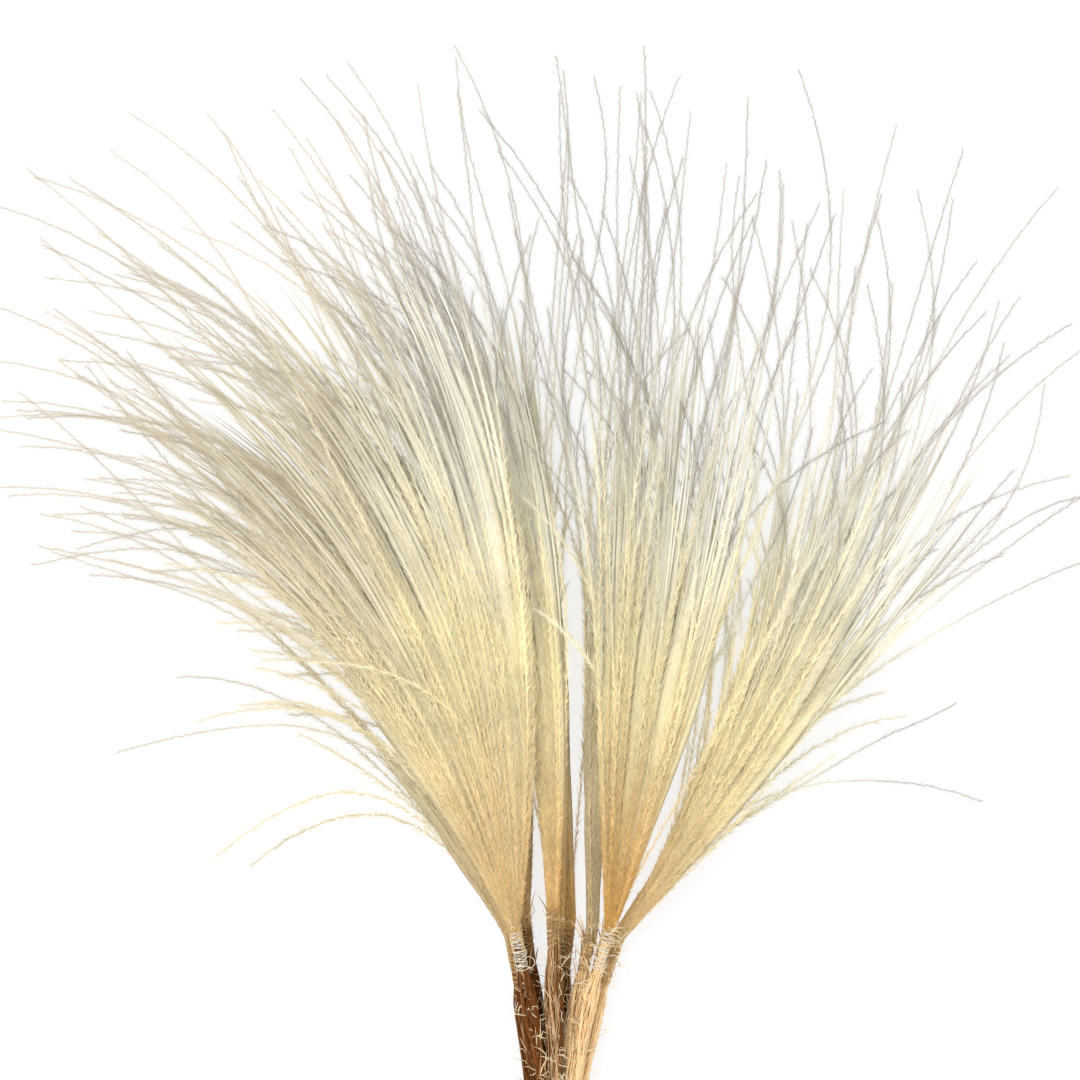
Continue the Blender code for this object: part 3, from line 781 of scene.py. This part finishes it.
def side_of(arc, share):
    """The level direction to the right of an arc at a share of its length."""
    step = 0.02
    ahead = (on_arc(arc, min(1, share + step)) - on_arc(arc, share - step)).normalized()
    return Vector((ahead.y, -ahead.x, 0))


def skin_share(through):
    """A share through the fan, moved close to the upper or the lower skin of the silky locks."""
    out = 2 * through - 1
    return 0.5 + SKIN_DEPTH * math.copysign(abs(out) ** SKIN_CROWDING, out)


def awn_size(index):
    return SHORT_AWN if index % ONE_SHORT_IN == 0 else 1


def smooth_step(value, start, end):
    share = min(max((value - start) / (end - start), 0), 1)
    return share * share * (3 - 2 * share)


def awn_path(bunch, index, clinging, steps=26):
    """One awn: along the silk's skin low down, then with its lock, then on its own, curling."""
    draw = random.Random(1000 * bunch.seed + index)
    across = math.modf(0.5 + index * ACROSS_STEP)[0]
    through = math.modf(0.5 + index * THROUGH_STEP)[0]
    size = awn_size(index)
    reach = between(bunch.reach, draw.random() ** REACH_BIAS) * MM * size
    stray = size == 1 and draw.random() < STRAY_SHARE
    habit = STRAYS if stray else KEEPS_TO_LOCK
    lock = lock_of(bunch, across)
    arc = arc_of(bunch, across, through, reach, lock.sway + draw.gauss(0, habit.sway))
    low_arc = arc_of(bunch, across, skin_share(through), reach, lock.sway)
    lock_arc = arc_of(bunch, lock.across, skin_share(through), reach, lock.sway)
    curl = (between(bunch.curl, across) * draw.uniform(*CURL_SHARES)
            + draw.gauss(0, habit.curl)) * MM + lock.curl
    curl = min(max(curl, -LARGEST_CURL), LARGEST_CURL)
    hook = draw.gauss(HOOK_SHARE * between(bunch.curl, across), HOOK_SPREAD) * MM
    bow = draw.gauss(0, habit.bow) * MM
    droop = draw.gauss(0, DROOP_SPREAD) * MM
    ripple = draw.uniform(*RIPPLE_DEPTHS) * MM
    waves, phase = draw.uniform(*RIPPLE_WAVES), draw.uniform(0, math.tau)
    points = []
    for step in range(steps):
        share = step / (steps - 1)
        loose = 1 if stray else smooth_step(share, *LEAVES_LOCK)
        cling = (clinging * smooth_step(share, *STARTS_CLINGING)
                 * (1 - smooth_step(share, *STOPS_CLINGING)))
        point = on_arc(low_arc, share).lerp(on_arc(lock_arc, share), cling)
        point = point.lerp(on_arc(arc, share), loose)
        wave = ripple * math.sin(math.tau * waves * share + phase) * share
        aside = curl * share**3 + hook * share**7 + bow * math.sin(math.tau * share) * share + wave
        point += side_of(arc, share) * aside * size
        point.z += droop * share**3 + 0.5 * wave
        points.append(point)
    points = with_foot(bunch, points, across, through)
    for point in points:
        point.x = min(max(point.x, LOW.x - FURTHEST_OUTSIDE), HIGH.x + FURTHEST_OUTSIDE)
    return [above_floor(point) for point in points]


def silk_path(bunch, number, count, widening, depth, steps=16):
    """One silky tongue under the awns, with its half widths, drawn out to a point."""
    draw = random.Random(500 * bunch.seed + count + number)
    across = (number + depth + draw.uniform(-SILK_JITTER, SILK_JITTER)) / count
    across = 0.5 + SILK_SPREAD * (across - 0.5)
    through = depth + draw.uniform(*SILK_RISES)
    lock = lock_of(bunch, across)
    reach = sum(bunch.reach) / 2 * MM
    arc = arc_of(bunch, across, through, reach, lock.sway + draw.gauss(0, SILK_SWAY))
    left = arc_of(bunch, across - 0.5 / count, through, reach)
    right = arc_of(bunch, across + 0.5 / count, through, reach)
    curl = between(bunch.curl, across) * MM + lock.curl
    length = between(bunch.silk, across) * draw.uniform(*SILK_LENGTHS) / widening**0.5
    length = min(length, LONGEST_SILK)
    blunt = draw.uniform(*SILK_BLUNTNESS)
    ripple, phase = draw.uniform(*SILK_RIPPLE_DEPTHS) * MM, draw.uniform(0, math.tau)
    points, widths = [], []
    for step in range(steps):
        share = step / (steps - 1)
        here = share * length
        wave = ripple * share * math.sin(math.tau * SILK_WAVES * share + phase)
        points.append(on_arc(arc, here) + side_of(arc, here) * (curl * here**3 + wave))
        room = (on_arc(right, here) - on_arc(left, here)).length / 2
        width = (room * SILK_OVERLAP * widening + SILK_MARGIN) * (1 - share**blunt)
        widths.append(max(THINNEST_SILK, width))
    points = with_foot(bunch, points, across, through)
    widths = widths[:1] * len(FOOT_DROPS) + widths
    return [above_floor(point) for point in points], widths


def stalk_path(bunch):
    """The stalk's middle line from its cut end up into the foot of its plume, with its radii."""
    points = [stalk_below(bunch, share) for share in STALK_SHARES_BELOW]
    radii = [STALK_RADIUS_AT_END] * len(points)
    for step in range(STALK_POINTS_ABOVE):
        share = step / (STALK_POINTS_ABOVE - 1)
        points.append(stalk_above(bunch, share))
        radii.append(interpolate(SHEATH_RADII, share) * MM)
    return points, radii


# Materials


def mixed(tree, factor, first, second, blend="MIX"):
    inputs = {"Factor_Float": factor, "A_Color": first, "B_Color": second}
    node = put(tree, "ShaderNodeMix", inputs, data_type="RGBA", blend_type=blend)
    return next(s for s in node.outputs if s.identifier == "Result_Color")


def smooth_ramp(tree, value, start, end, high=1.0):
    inputs = {"Value": value, "From Min": start, "From Max": end, "To Max": high}
    return put(tree, "ShaderNodeMapRange", inputs, interpolation_type="SMOOTHSTEP").outputs[0]


def attribute(tree, name):
    return put(tree, "ShaderNodeAttribute", attribute_name=name).outputs["Fac"]


def new_group(name, inputs, outputs):
    """A shader group with named inputs and outputs, and its group input and output nodes."""
    group = bpy.data.node_groups.new(name, "ShaderNodeTree")
    for label, kind in inputs:
        group.interface.new_socket(label, in_out="INPUT", socket_type="NodeSocket" + kind)
    for label, kind in outputs:
        group.interface.new_socket(label, in_out="OUTPUT", socket_type="NodeSocket" + kind)
    given = {socket.name: socket for socket in group.nodes.new("NodeGroupInput").outputs}
    return group, given, group.nodes.new("NodeGroupOutput")


def plume_colour_group():
    """Colour, roughness and height of an awn, hair or lock, from its place and its strand."""
    group, given, end = new_group(
        "Plume colour", (("Amber", "Color"), ("Cream", "Color"), ("Pale", "Color"),
                         ("Beige", "Color"), ("Tan", "Color")),
        (("Color", "Color"), ("Roughness", "Float"), ("Height", "Float")))

    # The colour goes from amber low down through cream to pale, dries to beige on single awns,
    # and tends to tan at the left of the fan
    along, warmth = attribute(group, "along"), attribute(group, "warmth")
    cool = maths(group, "SUBTRACT", 1.0, warmth)
    low = mixed(group, maths(group, "MULTIPLY", cool, 0.6), given["Amber"], given["Cream"])
    body = mixed(group, smooth_ramp(group, along, 0.0, 0.42), low, given["Cream"])
    body = mixed(group, smooth_ramp(group, along, 0.4, 0.7), body, given["Pale"])
    single = smooth_ramp(group, attribute(group, "silky"), 1.0, 0.0)
    dry = maths(group, "MULTIPLY", smooth_ramp(group, along, 0.52, 0.88), single)
    grey = maths(group, "MULTIPLY", maths(group, "SUBTRACT", cool, 0.45), 0.8)
    dry = maths(group, "MAXIMUM", dry, grey)
    body = mixed(group, dry, body, given["Beige"])
    place = put(group, "ShaderNodeTexCoord").outputs["Object"]
    across = put(group, "ShaderNodeSeparateXYZ", {"Vector": place}).outputs[0]
    left = smooth_ramp(group, across, *TAN_FROM_TO, high=TAN_AT_LEFT)
    body = mixed(group, left, body, given["Tan"])

    # Silk has fine streaks along it and barbs that slant both ways
    around, distance = attribute(group, "around"), attribute(group, "distance")
    layer = maths(group, "MULTIPLY", attribute(group, "tone"), TONE_TO_LAYER)
    strands = maths(group, "MULTIPLY", around, STREAKS_AROUND)
    run = put(group, "ShaderNodeCombineXYZ", {
        "X": strands, "Y": maths(group, "MULTIPLY", distance, STREAKS_ALONG),
        "Z": layer}).outputs[0]
    streaks = put(group, "ShaderNodeTexNoise",
                  {"Vector": run, "Scale": 1.0, "Detail": 2.0, "Roughness": 0.6}).outputs[0]
    barbs = []
    for slant in (BARB_SLANT, -BARB_SLANT):
        aslant = put(group, "ShaderNodeCombineXYZ", {
            "X": maths(group, "MULTIPLY_ADD", distance, slant, strands),
            "Y": maths(group, "MULTIPLY", distance, BARBS_ALONG), "Z": layer}).outputs[0]
        barbs.append(put(group, "ShaderNodeTexNoise",
                         {"Vector": aslant, "Scale": 1.0, "Detail": 1.0}).outputs[0])
    streaks = maths(group, "MULTIPLY_ADD", maths(group, "ADD", *barbs), BARB_SHARE, maths(
        group, "MULTIPLY", streaks, 1 - 2 * BARB_SHARE))

    # The shade comes from patches, the strand, the streaks and the bunch
    patches = put(group, "ShaderNodeTexNoise",
                  {"Vector": place, "Scale": 40.0, "Detail": 3.0}).outputs[0]
    shade = ramp(group, patches, 0.9, 1.06, start=0.3, end=0.7)
    strand = ramp(group, attribute(group, "strand"), 0.92, 1.2)
    streaky = ramp(group, streaks, 0.9, 1.12, start=0.41, end=0.59)
    shade = maths(group, "MULTIPLY", maths(group, "MULTIPLY", shade, strand), streaky)
    shade = maths(group, "MULTIPLY", shade, attribute(group, "tone"))
    value = put(group, "ShaderNodeCombineColor",
                {"Red": shade, "Green": shade, "Blue": shade}).outputs[0]
    group.links.new(mixed(group, 1.0, body, value, "MULTIPLY"), end.inputs["Color"])
    group.links.new(ramp(group, patches, 0.6, 0.8), end.inputs["Roughness"])
    group.links.new(streaks, end.inputs["Height"])
    return group


def fibre_colour_group():
    """Colour, roughness and height of a plant fibre with streaks along it and darker flecks."""
    group, given, end = new_group(
        "Fibre colour", (("Light", "Color"), ("Dark", "Color"), ("Streaks", "Float"),
                         ("Spread", "Float")),
        (("Color", "Color"), ("Roughness", "Float"), ("Height", "Float")))
    place = put(group, "ShaderNodeTexCoord").outputs["Object"]
    drawn_out = vector_maths(group, "MULTIPLY", place, (1.0, STREAK_DRAWN_OUT, 1.0))
    streaks = put(group, "ShaderNodeTexNoise",
                  {"Vector": drawn_out, "Scale": given["Streaks"], "Detail": 4.0}).outputs[0]
    flecks = put(group, "ShaderNodeTexNoise",
                 {"Vector": place, "Scale": 160.0, "Detail": 2.0}).outputs[0]
    share = maths(group, "SUBTRACT", maths(group, "MULTIPLY", streaks, 1.3), 0.45)
    share = maths(group, "MULTIPLY_ADD", attribute(group, "tone"), given["Spread"], share)
    share = maths(group, "MULTIPLY_ADD", maths(group, "SUBTRACT", flecks, 0.5), 0.5, share)
    share = maths(group, "MAXIMUM", maths(group, "MINIMUM", share, 1.0), 0.0)
    group.links.new(mixed(group, share, given["Dark"], given["Light"]), end.inputs["Color"])
    group.links.new(ramp(group, streaks, 0.75, 0.5), end.inputs["Roughness"])
    group.links.new(streaks, end.inputs["Height"])
    return group


def plant_material(name, group, values, specular, bump, depth):
    """A new material whose colour, roughness and relief come from a shader group."""
    material = bpy.data.materials.new(name)
    shader = shader_of(material)
    tree = material.node_tree
    node = put(tree, "ShaderNodeGroup", node_tree=group)
    for label, value in values.items():
        node.inputs[label].default_value = value
    tree.links.new(node.outputs["Color"], shader.inputs["Base Color"])
    tree.links.new(node.outputs["Roughness"], shader.inputs["Roughness"])
    shader.inputs["Specular IOR Level"].default_value = specular
    if bump:
        relief = put(tree, "ShaderNodeBump",
                     {"Height": node.outputs["Height"], "Strength": bump, "Distance": depth})
        tree.links.new(relief.outputs[0], shader.inputs["Normal"])
    return material


def shader_of(material):
    material.use_nodes = True
    return material.node_tree.nodes["Principled BSDF"]


def plume_material():
    name = "Silky plume"
    if name in bpy.data.materials:
        return bpy.data.materials[name]
    settings = bpy.context.scene.grass_plumes
    colours = {"Amber": settings.base_colour, "Cream": settings.cream_colour,
               "Pale": settings.pale_colour, "Beige": settings.tip_colour,
               "Tan": settings.left_colour}
    material = plant_material(
        name, shared_tree("Plume colour", plume_colour_group),
        {label: (*colour, 1) for label, colour in colours.items()},
        specular=0.1, bump=0.3, depth=0.3 * MM)
    shader_of(material).inputs["Sheen Weight"].default_value = 0.15
    return material


def fibre_material(name, light, dark, streaks, spread, bump=0.0):
    if name in bpy.data.materials:
        return bpy.data.materials[name]
    return plant_material(
        name, shared_tree("Fibre colour", fibre_colour_group),
        {"Light": (*light, 1), "Dark": (*dark, 1), "Streaks": streaks, "Spread": spread},
        specular=0.12, bump=bump, depth=0.2 * MM)


def darker(colour, share):
    return tuple(value * share for value in colour)


# The pieces


def settle(piece, node=None):
    """The piece rides on the bundle and may stand for a solid, which is then hidden."""
    if node:
        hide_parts(node)
    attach(piece, BODY)


class GRASS_OT_plumes(bpy.types.Operator):
    """Make the ten plumes of hairy awns"""

    bl_idname = "grass.plumes"
    bl_label = "Plumes"

    def execute(self, context):
        settings = context.scene.grass_plumes
        tree = shared_tree("Hairy awns", hairy_awn_tree)
        material = plume_material()
        for bunch in BUNCHES:
            paths = [awn_path(bunch, i, settings.clinging) for i in range(bunch.awns)]
            sizes = [[awn_size(i)] * len(path) for i, path in enumerate(paths)]
            plume = grown("feathered_" + bunch.name, paths, tree, {
                "Shaft Thickness": settings.shaft_thickness,
                "Hair Length": settings.hair_length,
                "Hair Spacing": settings.hair_spacing,
                "Hair Width": settings.hair_width,
                "Angle Low": settings.angle_low,
                "Angle High": settings.angle_high,
                "Warmth": bunch.warmth,
                "Shine": bunch.shine,
                "Seed": bunch.seed,
                "Material": material,
            }, sizes)
            settle(plume, "plume_" + bunch.name)
        return {"FINISHED"}


class GRASS_OT_silk(bpy.types.Operator):
    """Lay the silky locks that the awns' hairs form low down"""

    bl_idname = "grass.silk"
    bl_label = "Silky locks"

    def execute(self, context):
        tree = shared_tree("Silk locks", silk_lock_tree)
        material = plume_material()
        for bunch in BUNCHES:
            locks = []
            for in_a_lock, widening, depth in SILK_LAYERS:
                count = in_a_lock * bunch.locks
                locks += [silk_path(bunch, i, count, widening, depth) for i in range(count)]
            paths, widths = zip(*locks)
            silk = grown("silk_" + bunch.name, paths, tree, {
                "Flatness": SILK_FLATNESS,
                "Reach": sum(bunch.reach) / 2 * MM,
                "Warmth": bunch.warmth,
                "Shine": bunch.shine,
                "Seed": bunch.seed,
                "Material": material,
            }, widths)
            settle(silk)
        return {"FINISHED"}


class GRASS_OT_stalks(bpy.types.Operator):
    """Make the ten stalks, each a bundle of thin culms with finer fibres round it"""

    bl_idname = "grass.stalks"
    bl_label = "Stalks"

    def execute(self, context):
        settings = context.scene.grass_stalks
        tree = shared_tree("Strand bundle", strand_bundle_tree)
        material = fibre_material("Dry culm", settings.light_colour, settings.dark_colour,
                                  streaks=900.0, spread=0.9, bump=0.6)
        for bunch in BUNCHES:
            path, radii = stalk_path(bunch)
            inside = [radius - settings.culm_thickness * 0.5 for radius in radii]
            lightness = GOLDEN_CONTRAST * (bunch.golden - MIDDLING_GOLDEN)
            stalk = grown("culms_" + bunch.name, [path], tree, {
                "Strands": settings.culms,
                "Strand Thickness": settings.culm_thickness,
                "Turns": settings.twist,
                "Packing": 0.5,
                "Wander": 2.2,
                "Points": 30,
                "Sides": 5,
                "Lightness": lightness,
                "Seed": bunch.seed,
                "Material": material,
            }, [inside])
            settle(stalk, "stalk_" + bunch.name)
            skin = grown("stalk_fibres_" + bunch.name, [path], tree, {
                "Strands": settings.fibres,
                "Strand Thickness": settings.fibre_thickness,
                "Turns": -0.5 * settings.twist,
                "Packing": 0.05,
                "Wander": 7.0,
                "Points": 34,
                "Sides": 3,
                "Lightness": lightness,
                "Seed": bunch.seed + 3,
                "Material": material,
            }, [radii])
            settle(skin)
        return {"FINISHED"}


def winding(bunch, radius, turns, draw):
    """A thread wound unevenly up the neck and back down, each turn in a tilted plane."""
    axis = neck_direction(bunch)
    up = Vector((1, 0, 0)).cross(axis).normalized()
    across = axis.cross(up)
    foot = neck_place(bunch) - BINDER_LENGTH_BELOW * axis
    length = BINDER_LENGTH_BELOW + BINDER_LENGTH_ABOVE
    drawn_turns = range(turns + 2)
    tilts = [(draw.uniform(*TURN_TILTS) * MM, draw.uniform(0, math.tau)) for _ in drawn_turns]
    heights = [draw.uniform(*TURN_HEIGHTS) * MM for _ in drawn_turns]
    bulges = [draw.uniform(*TURN_BULGES) * MM for _ in drawn_turns]
    steps = POINTS_IN_A_TURN * turns
    points = []
    for step in range(steps + 1):
        turn = turns * step / steps
        low = math.floor(turn)
        rest = turn - low
        angle = math.tau * turn
        there = 1 - abs(2 * step / steps - 1)
        (tilt, phase), (next_tilt, next_phase) = tilts[low], tilts[low + 1]
        lean = ((1 - rest) * tilt * math.sin(angle + phase)
                + rest * next_tilt * math.sin(angle + next_phase))
        height = length * there + lean + heights[low] * (1 - rest) + heights[low + 1] * rest
        height = min(max(height, THREAD_MARGIN), length - THREAD_MARGIN)
        reach = radius + bulges[low] * (1 - rest) + bulges[low + 1] * rest
        points.append(foot + height * axis
                      + reach * (math.cos(angle) * across + math.sin(angle) * up))
    return points


def loose_loop(bunch, draw):
    """An end of the thread that leaves the neck in an open curve."""
    axis = neck_direction(bunch)
    side = draw.choice((-1, 1))
    start = neck_place(bunch) + axis * draw.uniform(*LOOP_STARTS) * MM
    start.x += side * BINDER_RADIUS
    heading = math.pi / 2 - side * draw.uniform(*LOOP_ANGLES)
    bend = -side * draw.uniform(*LOOP_BENDS)
    length = draw.uniform(*LOOP_LENGTHS) * MM
    points = [start]
    for _ in range(LOOP_STEPS):
        heading += bend
        forward = Vector((math.cos(heading), math.sin(heading), LOOP_RISE))
        points.append(points[-1] + forward * length / LOOP_STEPS)
    return points


class GRASS_OT_threads(bpy.types.Operator):
    """Wind the thread round each neck"""

    bl_idname = "grass.threads"
    bl_label = "Threads"

    def execute(self, context):
        settings = context.scene.grass_threads
        tree = shared_tree("Tapered fibres", tapered_fibre_tree)
        pale = fibre_material("Pale thread", settings.colour, darker(settings.colour, 0.7),
                              streaks=2500.0, spread=0.6, bump=0.3)
        straw = fibre_material("Straw thread", settings.straw_colour,
                               darker(settings.straw_colour, 0.5),
                               streaks=2500.0, spread=0.8, bump=0.3)
        for bunch in BUNCHES:
            draw = random.Random(50 + bunch.seed)
            paths = [winding(bunch, BINDER_RADIUS + lift, settings.turns, draw)
                     for lift in (-THREAD_LIFT, THREAD_LIFT)]
            if bunch.pale_thread:
                paths += [loose_loop(bunch, draw) for _ in range(LOOSE_LOOPS)]
            thread = grown("thread_" + bunch.name, paths, tree, {
                "Thickness": settings.thickness,
                "Taper": 0.15,
                "Sides": 5,
                "Seed": bunch.seed,
                "Material": pale if bunch.pale_thread else straw,
            })
            settle(thread, "binder_" + bunch.name)
        return {"FINISHED"}


def fibre_path(start, heading, length, kinks, bending, draw):
    """A short fibre, nearly straight between its kinks, lying close to what it clings to."""
    points = [start]
    bend = draw.gauss(0, bending)
    places = draw.sample(range(1, FIBRE_STEPS), kinks)
    for step in range(FIBRE_STEPS):
        heading += bend
        if step in places:
            heading += draw.choice((-1, 1)) * draw.uniform(*KINK_ANGLES)
        forward = Vector((math.cos(heading), math.sin(heading), draw.uniform(*FIBRE_RISES)))
        points.append(points[-1] + forward * length / FIBRE_STEPS)
    return points


def on_stalk_skin(bunch, share, draw):
    """A point on the upper side of a stalk or of the foot of its plume."""
    middle = stalk_above(bunch, min(share, 1))
    if share > 1:
        middle += (share - 1) * neck_place(bunch).y * neck_direction(bunch)
    angle = draw.gauss(math.pi / 2, FIBRE_SCATTER)
    reach = interpolate(STALK_RADII_ABOVE, min(share, 1)) * MM + FIBRE_LIFT
    place = middle + reach * Vector((math.cos(angle), 0, math.sin(angle)))
    return Vector((place.x, place.y, max(place.z, LOWEST_FIBRE)))


class GRASS_OT_fibres(bpy.types.Operator):
    """Scatter the pale fibres and the brown slivers that cling to the stalks"""

    bl_idname = "grass.fibres"
    bl_label = "Loose fibres"

    def execute(self, context):
        settings = context.scene.grass_threads
        tree = shared_tree("Tapered fibres", tapered_fibre_tree)
        pale = fibre_material("Loose fibre", settings.fibre_colour,
                              darker(settings.fibre_colour, 0.75), streaks=2500.0, spread=0.8)
        brown = bpy.data.materials["Dry culm"]
        for bunch in BUNCHES:
            draw = random.Random(90 + bunch.seed)
            more = FIBRES_ON_DARK + MORE_ON_GOLDEN * bunch.golden
            for name, count, thickness, lengths, spread, kinks, bending, material, slot in (
                    ("loose_fibres_", settings.fibres, settings.fibre_thickness, (2.5, 8), 0.9,
                     3, 0.14, pale, "thread"),
                    ("slivers_", settings.slivers, settings.sliver_thickness, (7, 15), 0.1,
                     0, 0.03, brown, "stalk")):
                paths = []
                for _ in range(round(count * more)):
                    share = draw.uniform(*FIBRE_PLACES)
                    heading = draw.gauss(math.pi / 2, spread)
                    length = draw.uniform(*lengths) * MM
                    paths.append(fibre_path(on_stalk_skin(bunch, share, draw), heading, length,
                                            draw.randint(0, kinks), bending, draw))
                fibres = grown(name + bunch.name, paths, tree, {
                    "Thickness": thickness,
                    "Taper": 0.75,
                    "Sides": 4,
                    "Seed": bunch.seed,
                    "Material": material,
                })
                settle(fibres)
        return {"FINISHED"}


def tie_path():
    """One turn round the outer stalks, at the middle of the twine."""
    reach = STALK_RADIUS_AT_TIE + TIE_GAP + TWINE_THICKNESS / 2
    corners = ((-3, 1), (-2, 0), (2, 0), (3, 1), (2, 2), (-2, 2))
    arc_steps = 5
    points = []
    for i, slot in enumerate(corners):
        here = slot_place(slot)
        before, after = slot_place(corners[i - 1]), slot_place(corners[(i + 1) % len(corners)])
        start = math.atan2((here - before).z, (here - before).x) - math.pi / 2
        end = math.atan2((after - here).z, (after - here).x) - math.pi / 2
        sweep = (end - start) % math.tau
        for step in range(arc_steps + 1):
            angle = start + sweep * step / arc_steps
            points.append(here + reach * Vector((math.cos(angle), 0, math.sin(angle))))
    return points


class GRASS_OT_twine(bpy.types.Operator):
    """Lay the twisted twine round the stalks"""

    bl_idname = "grass.twine"
    bl_label = "Twine"

    def execute(self, context):
        settings = context.scene.grass_twine
        tree = shared_tree("Strand bundle", strand_bundle_tree)
        material = fibre_material("Jute twine", settings.colour, darker(settings.colour, 0.45),
                                  streaks=1800.0, spread=0.5, bump=0.6)
        turn = tie_path()
        path = []
        first = -(TWINE_TURNS - 1) / 2 * TWINE_TURN_WIDTH
        for number in range(TWINE_TURNS):
            for i, point in enumerate(turn):
                share = number + i / len(turn)
                along = first + min(share, TWINE_TURNS - 1) * TWINE_TURN_WIDTH
                path.append(point + Vector((0, along, 0)))
        ply = TWINE_THICKNESS / PLIES_ACROSS_TWINE
        length = sum((b - a).length for a, b in zip(path, path[1:]))
        twine = grown("twine_turns", [path], tree, {
            "Strands": settings.plies,
            "Strand Thickness": ply,
            "Turns": length / settings.lay,
            "Packing": 0.0,
            "Wander": 0.0,
            "Points": 420,
            "Sides": 6,
            "Lightness": 0.0,
            "Seed": 5,
            "Material": material,
        }, [[ply * PLY_OFFSET] * len(path)])
        settle(twine, "twine_tie")
        return {"FINISHED"}


class GRASS_OT_stage(bpy.types.Operator):
    """Set the floor, the lights and the camera"""

    bl_idname = "grass.stage"
    bl_label = "Stage"

    def execute(self, context):
        settings = context.scene.grass_stage
        self.make_floor(context, settings)
        self.make_lights(context, settings)
        self.make_camera(context, settings)
        context.scene.view_settings.view_transform = "Standard"
        return {"FINISHED"}

    def make_floor(self, context, settings):
        bpy.ops.mesh.primitive_plane_add(size=FLOOR_SIZE)
        floor = context.object
        floor.name = "floor"
        material = bpy.data.materials.new("Pale floor")
        shader = shader_of(material)
        shader.inputs["Base Color"].default_value = (*settings.floor_colour, 1)
        shader.inputs["Roughness"].default_value = 0.9
        shader.inputs["Specular IOR Level"].default_value = 0.1
        shader.inputs["Emission Color"].default_value = (1, 1, 1, 1)
        shader.inputs["Emission Strength"].default_value = settings.floor_glow
        floor.data.materials.append(material)
        floor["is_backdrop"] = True

    def make_lights(self, context, settings):
        world = bpy.data.worlds.new("Soft studio")
        context.scene.world = world
        world.use_nodes = True
        back = world.node_tree.nodes["Background"]
        back.inputs["Color"].default_value = (1, 1, 1, 1)
        back.inputs["Strength"].default_value = settings.studio_light
        for name, place, size, power in LIGHTS:
            data = bpy.data.lights.new(name, "AREA")
            data.size = size
            data.energy = power
            light = bpy.data.objects.new(name, data)
            context.scene.collection.objects.link(light)
            aim = Vector(LIGHT_TARGET) - Vector(place)
            light.matrix_world = (Matrix.Translation(place)
                                  @ aim.to_track_quat("-Z", "Y").to_matrix().to_4x4())

    def make_camera(self, context, settings):
        """A camera straight above, whose view is as wide as the photograph's."""
        data = bpy.data.cameras.new("camera")
        data.lens = settings.lens
        data.sensor_width = 36
        distance = settings.view_width * data.lens / data.sensor_width
        camera = bpy.data.objects.new("camera", data)
        context.scene.collection.objects.link(camera)
        camera.location = (VIEW_CENTRE[0] * MM, VIEW_CENTRE[1] * MM,
                           VIEW_CENTRE[2] * MM + distance)
        data.clip_start = 0.1
        data.clip_end = 20
        context.scene.camera = camera


class GRASS_PT_bundle(bpy.types.Panel):
    bl_label = "Feather Grass"
    bl_idname = "GRASS_PT_bundle"
    bl_space_type = "VIEW_3D"
    bl_region_type = "UI"
    bl_category = "Feather Grass"

    def draw(self, context):
        layout = self.layout
        for group, operators in PANEL_ROWS:
            box = layout.box()
            settings = getattr(context.scene, group)
            for name in settings.__annotations__:
                box.prop(settings, name)
            for operator in operators:
                box.operator(operator.bl_idname)


SETTINGS = (
    ("grass_plumes", PlumeSettings),
    ("grass_stalks", StalkSettings),
    ("grass_threads", ThreadSettings),
    ("grass_twine", TwineSettings),
    ("grass_stage", StageSettings),
)
PANEL_ROWS = (
    ("grass_plumes", (GRASS_OT_plumes, GRASS_OT_silk)),
    ("grass_stalks", (GRASS_OT_stalks,)),
    ("grass_threads", (GRASS_OT_threads, GRASS_OT_fibres)),
    ("grass_twine", (GRASS_OT_twine,)),
    ("grass_stage", (GRASS_OT_stage,)),
)
CLASSES = tuple(settings for _, settings in SETTINGS) + (
    GRASS_OT_plumes, GRASS_OT_silk, GRASS_OT_stalks, GRASS_OT_threads, GRASS_OT_fibres,
    GRASS_OT_twine, GRASS_OT_stage, GRASS_PT_bundle)


def register():
    for cls in CLASSES:
        bpy.utils.register_class(cls)
    for name, settings in SETTINGS:
        setattr(bpy.types.Scene, name, bpy.props.PointerProperty(type=settings))


def unregister():
    for name, _ in SETTINGS:
        delattr(bpy.types.Scene, name)
    for cls in reversed(CLASSES):
        bpy.utils.unregister_class(cls)


def main():
    register()
    bpy.ops.grass.stage()
    bpy.ops.grass.plumes()
    bpy.ops.grass.silk()
    bpy.ops.grass.stalks()
    bpy.ops.grass.threads()
    bpy.ops.grass.fibres()
    bpy.ops.grass.twine()


if __name__ == "__main__":
    main()
